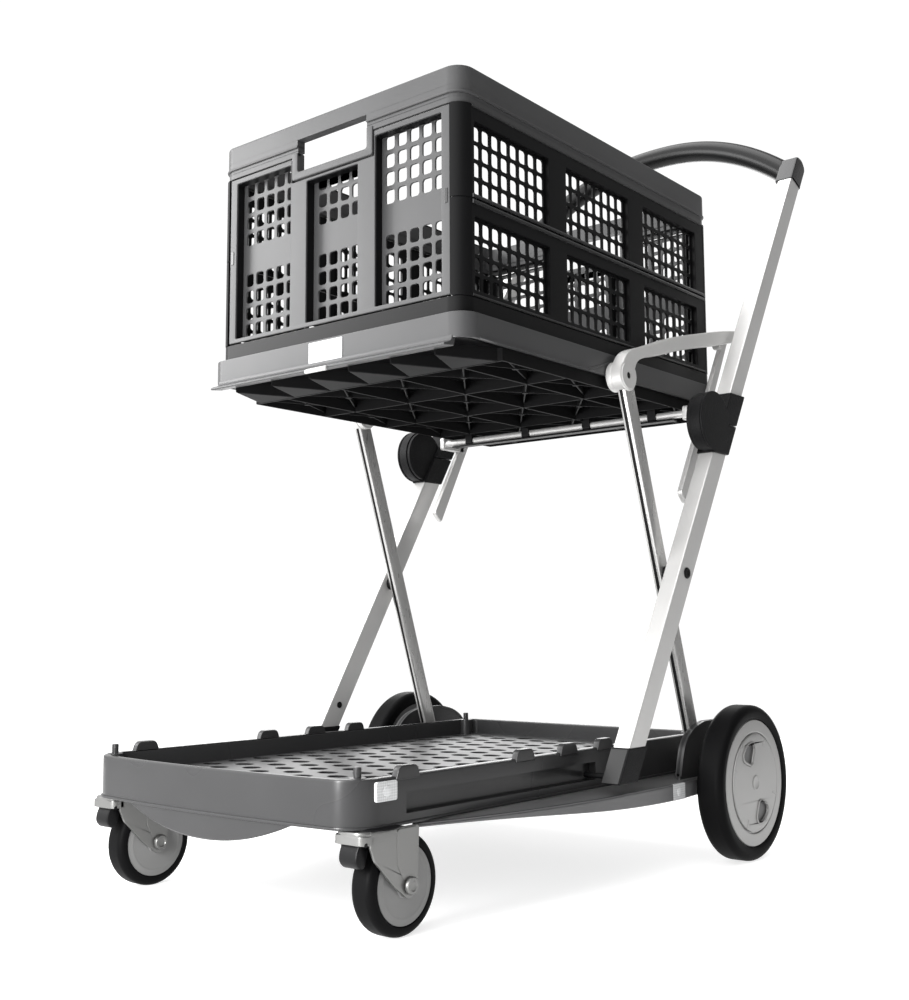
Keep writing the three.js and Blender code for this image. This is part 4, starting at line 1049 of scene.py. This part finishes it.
def build_rim():
    rim = Piece()
    low, high = HAND_HOLE["z"]
    step = 821.5
    for _, sign in SIDES:
        slab(rim, rim_side(sign, 1.6, SWING_ROOM["wall"]), (CRATE["rim"], SWING_ROOM["top"] + 0.5),
            bevel=0, foot=0.8)
        slab(rim, rim_side(sign, 1.6), (SWING_ROOM["top"], step + 1), bevel=0)
        slab(rim, rim_side(sign, -0.4), (step - 1.6, step + 1.4), bevel=1.2)
        slab(rim, rim_side(sign, 0.6), (step + 0.5, high + 0.2), bevel=0)
    slab(rim, crate_outline(0.6), (high, RIM_Z[1]), bevel=2.6, foot=0, holes=[crate_outline(12)])
    hole, edge = HAND_HOLE["half"], HAND_HOLE["half"] + HAND_HOLE["frame"]
    top, sill = CRATE["rim"] + 4, low - HAND_HOLE["frame"]
    hoop = rounded([(-edge, top), (-edge, sill), (edge, sill), (edge, top), (hole, top), (hole, low),
        (-hole, low), (-hole, top)], [0, 3, 3, 0, 0, 3, 3, 0])
    slab(rim, hoop, (CRATE_X[1] - 12, CRATE_X[1] - 0.3), "yz", 1.2)
    slab(rim, hoop, (CRATE_X[0] + 0.3, CRATE_X[0] + 12), "yz", 1.2)
    make(rim, "crate_rim_ring", CRATE_GREY, "crate_rim")


def build_base():
    base = Piece()
    slab(base, crate_outline(0.3), (CRATE_BOTTOM, CRATE["base_top"]), bevel=1.2, holes=[crate_outline(6)])
    slots = [around((x, y), 13, 5, 3) for x in range(-200, 251, 36) for y in range(-144, 145, 24)]
    slab(base, crate_outline(4), (CRATE_BOTTOM, CRATE_BOTTOM + 4), bevel=0.6, holes=slots)
    make(base, "crate_base_tray", BASE_BLACK, "crate_base")


def cells(centre, columns, levels, half=None):
    """Rounded holes in rows at the given levels."""
    half = half or CELL["half"]
    pitch = CELL["pitch"] * half / CELL["half"]
    places = [(centre + pitch * (column - (columns - 1) / 2), level)
        for column in range(columns) for level in levels]
    return [around(place, half, CELL["half_height"], CELL["corner"]) for place in places]


END_COLUMNS = ((-112.5, 93, 5, 4), (0, 80, 4, 3), (112.5, 93, 5, 4))
WINDOW_SILL, WINDOW_TOP = 613, 802.5
END_LEVELS_LOW = [624, 644.2, 664.4, 684.6]
END_LEVELS_HIGH = [734.6, 754.8, 775, 795.2]


def build_end_wall(name, direction):
    """An end wall: a ribbed face with three deep columns, each closed by a grille at its back, with black
    jambs lining the columns as painted shade.
    """
    face = (CRATE_X[1] - 1.7) if direction > 0 else (CRATE_X[0] + 1.7)

    def depth(near, far):
        return tuple(sorted((face - direction * near, face - direction * far)))

    _, y_span, z_span = reach(name)
    top = z_span[1] - 1
    notch = HAND_HOLE["half"] + HAND_HOLE["frame"] + 1.5
    notch_low = HAND_HOLE["z"][0] - HAND_HOLE["frame"] - 1.5
    outline = [(y_span[0], z_span[0]), (y_span[1], z_span[0]), (y_span[1], top), (notch, top),
        (notch, notch_low), (-notch, notch_low), (-notch, top), (y_span[0], top)]
    wall = Piece()
    # The black jambs lining the deep columns are painted shade in the recesses.
    painted_shade_jambs = Piece()
    windows = []
    for centre, width, columns, high_rows in END_COLUMNS:
        window_top = WINDOW_TOP if high_rows == 4 else notch_low - 3
        window = rectangle((centre - width / 2, centre + width / 2), (WINDOW_SILL, window_top), 1.5, 3)
        windows.append(window)
        levels = END_LEVELS_LOW + END_LEVELS_HIGH[:high_rows]
        back = 14 if high_rows == 4 else 15
        grille = shrunk(wound(window, 1), -1)
        slab(wall, grille, depth(back - 2.4, back), "yz", 0.5, cells(centre, columns, levels))
        slab(painted_shade_jambs, shrunk(wound(window, 1), -2), depth(2, back), "yz", 0.5, [window])
    slab(wall, rounded(outline, 1, 3), depth(0, 2.8), "yz", 0.8, windows)
    make(wall, f"{name}_wall", CRATE_GREY, name)
    make(painted_shade_jambs, f"{name}_jambs", BLACK, name)
    catch = Piece()
    for side in (-1, 1):
        y = side * (y_span[1] - 4.5)
        slab(catch, around((y, 712), 2.2, 8, 1), depth(-0.6, 1.5), "yz", 0.4)
    make(catch, f"{name}_catches", BEAD_BLACK, body=NODE_BODY[name])


def corner_post(end, sign):
    """The rounded post at a corner, drawn in plan."""
    radius = CRATE["radius"]
    x = CRATE_X[1] if end > 0 else CRATE_X[0]
    deep_x, deep_y = 17, 15.5
    start = math.degrees(math.asin((radius - deep_y) / radius))
    stop = math.degrees(math.acos((radius - deep_x) / radius))
    shape = [(px - radius, py - radius) for px, py in arc((0, 0), radius, start, stop, 10)]
    shape.append((-deep_x, -deep_y))
    return [(x + end * px, sign * (CRATE_Y[1] + py)) for px, py in shape]


SIDE_WINDOWS = (-160, 9, 177)
SIDE_ROW = 19.3


def build_side_panel(label, sign, part):
    node = f"crate_side_{part}_{label}"
    low, high = reach(node)[2]
    upper = part == "upper"
    grille_half = 66
    centre_x = middle(CRATE_X)
    panel = Piece()
    windows = []
    levels = [low + (15.5 if upper else 17.2) + SIDE_ROW * row for row in range(4)]
    for shift in SIDE_WINDOWS:
        x = centre_x + shift
        window = rectangle((x - grille_half - 1, x + grille_half + 1),
            (levels[0] - 9.6, levels[-1] + 9.6), 1.5, 3)
        windows.append(window)
        grille = shrunk(wound(window, 1), -1)
        slab(panel, grille, band(sign, 178.5, 180.7), "xz", 0.5, cells(x, 8, levels, 5.9))
    outline = rectangle((CRATE_X[0] + 14, CRATE_X[1] - 14), (low + 0.2, high - 0.2))
    slab(panel, outline, band(sign, 180, 186.3), "xz", 0.8, windows)
    for end in (1, -1):
        slab(panel, corner_post(end, sign), (low, high), bevel=0.6)
    make(panel, f"{node}_panel", BLACK, node)
    beads = Piece()
    length = (CRATE_X[0] + 18, CRATE_X[1] - 18)
    level = (low + 0.4, low + 5) if upper else (high - 5, high - 0.4)
    slab(beads, rectangle(length, level), band(sign, 183, 188.6), "xz", 1.9)
    edge = (high - 3.4, high - 0.6) if upper else (low + 0.6, low + 3.4)
    slab(beads, rectangle(length, edge), band(sign, 183, 187.4), "xz", 1.1)
    make(beads, f"{node}_beads", BEAD_BLACK, node)


# ------------------------------------------------------------------ everything
build_platform()
build_axle_and_pins()
build_grip()
build_tray_pan()
build_tray_fittings()
build_rim()
build_base()
build_end_wall("crate_end_front", 1)
build_end_wall("crate_end_rear", -1)
for side_label, side_sign in SIDES:
    build_rear_wheel(side_label, side_sign)
    build_caster(side_label, side_sign)
    build_frame_side(side_label, side_sign)
    build_tray_arm(side_label, side_sign)
    build_side_panel(side_label, side_sign, "lower")
    build_side_panel(side_label, side_sign, "upper")


# ------------------------------------------------------------------ studio
def build_floor():
    edge = [(x, y, 0) for x, y in circle((0, 0), 1.7, 96)]
    mesh = bpy.data.meshes.new("studio_floor")
    mesh.from_pydata(edge, [], [tuple(range(len(edge)))])
    material, nodes, links, shader = new_material("pale floor")
    links.new(tint(nodes, links, noise(nodes, links, 2), (0.5, 0.5, 0.5), 0.01), shader.inputs["Base Color"])
    shader.inputs["Roughness"].default_value = 0.9
    shader.inputs["Specular IOR Level"].default_value = 0.1
    shader.inputs["Emission Color"].default_value = (1, 1, 1, 1)
    shader.inputs["Emission Strength"].default_value = 0.72
    mesh.materials.append(material)
    floor = bpy.data.objects.new("studio_floor", mesh)
    bpy.context.scene.collection.objects.link(floor)


def build_camera():
    place = Vector((1.211, 0.9319, 0.2726))
    ahead = Vector((-0.7659, -0.6335, 0.1098))
    up = Vector((0.0846, 0.0700, 0.9940))
    right = ahead.cross(up).normalized()
    up = right.cross(ahead).normalized()
    camera = bpy.data.objects.new("camera", bpy.data.cameras.new("camera"))
    camera.matrix_world = Matrix((
        (right.x, up.x, -ahead.x, place.x),
        (right.y, up.y, -ahead.y, place.y),
        (right.z, up.z, -ahead.z, place.z),
        (0, 0, 0, 1),
    )) @ Matrix.Rotation(math.radians(-0.245), 4, "Z")
    camera.data.sensor_width = 36
    camera.data.lens = 43.83
    camera.data.shift_x = 0.0073
    camera.data.shift_y = -0.0064
    camera.data.clip_start = 0.01
    bpy.context.scene.collection.objects.link(camera)
    bpy.context.scene.camera = camera


def area_light(name, place, target, size, power):
    data = bpy.data.lights.new(name, "AREA")
    data.shape = "RECTANGLE"
    data.size, data.size_y = size
    data.energy = power
    light = bpy.data.objects.new(name, data)
    light.location = place
    light.rotation_euler = (Vector(target) - Vector(place)).to_track_quat("-Z", "Y").to_euler()
    light.visible_camera = False
    bpy.context.scene.collection.objects.link(light)


WORLD_LOBES = (((0.75, -0.3, 0.6), 0.2, 0.28, 3.4), ((-0.77, -0.63, 0.1), 0.35, 0.0, 0.9))


def build_world():
    """Dim all round, bright from the front and above, and white behind."""
    world = bpy.data.worlds.new("studio")
    bpy.context.scene.world = world
    world.use_nodes = True
    nodes, links = world.node_tree.nodes, world.node_tree.links
    where = nodes.new("ShaderNodeTexCoord")
    glow = nodes.new("ShaderNodeMath")
    for slot, (direction, start, low, high) in enumerate(WORLD_LOBES):
        toward = nodes.new("ShaderNodeVectorMath")
        toward.operation = "DOT_PRODUCT"
        toward.inputs[1].default_value = Vector(direction).normalized()
        links.new(where.outputs["Generated"], toward.inputs[0])
        strength = nodes.new("ShaderNodeMapRange")
        strength.interpolation_type = "SMOOTHSTEP"
        strength.inputs["From Min"].default_value = start
        strength.inputs["To Min"].default_value = low
        strength.inputs["To Max"].default_value = high
        links.new(toward.outputs["Value"], strength.inputs["Value"])
        links.new(strength.outputs["Result"], glow.inputs[slot])
    links.new(glow.outputs["Value"], nodes["Background"].inputs["Strength"])
    nodes["Background"].inputs["Color"].default_value = (1, 1, 1, 1)
    backdrop = nodes.new("ShaderNodeBackground")
    backdrop.inputs["Strength"].default_value = 1.05
    backdrop.inputs["Color"].default_value = (1, 1, 1, 1)
    seen = nodes.new("ShaderNodeLightPath")
    mix = nodes.new("ShaderNodeMixShader")
    links.new(seen.outputs["Is Camera Ray"], mix.inputs["Fac"])
    links.new(nodes["Background"].outputs["Background"], mix.inputs[1])
    links.new(backdrop.outputs["Background"], mix.inputs[2])
    links.new(mix.outputs["Shader"], nodes["World Output"].inputs["Surface"])


build_floor()
build_camera()
build_world()
area_light("low front", (0.98, 0.14, 0.3), (0.45, 0.08, 0.12), (0.12, 0.4), 8)
area_light("high left", (0.95, -1.1, 1.05), (0.28, -0.2, 0.72), (0.5, 0.8), 14)
area_light("top", (-0.1, -0.5, 2.8), (0, 0, 0.4), (1.8, 1.8), 30)
area_light("behind", (-1.3, -1.1, 0.75), (0.1, 0, 0.1), (1.2, 0.6), 8)
bpy.context.scene.view_settings.view_transform = "Standard"
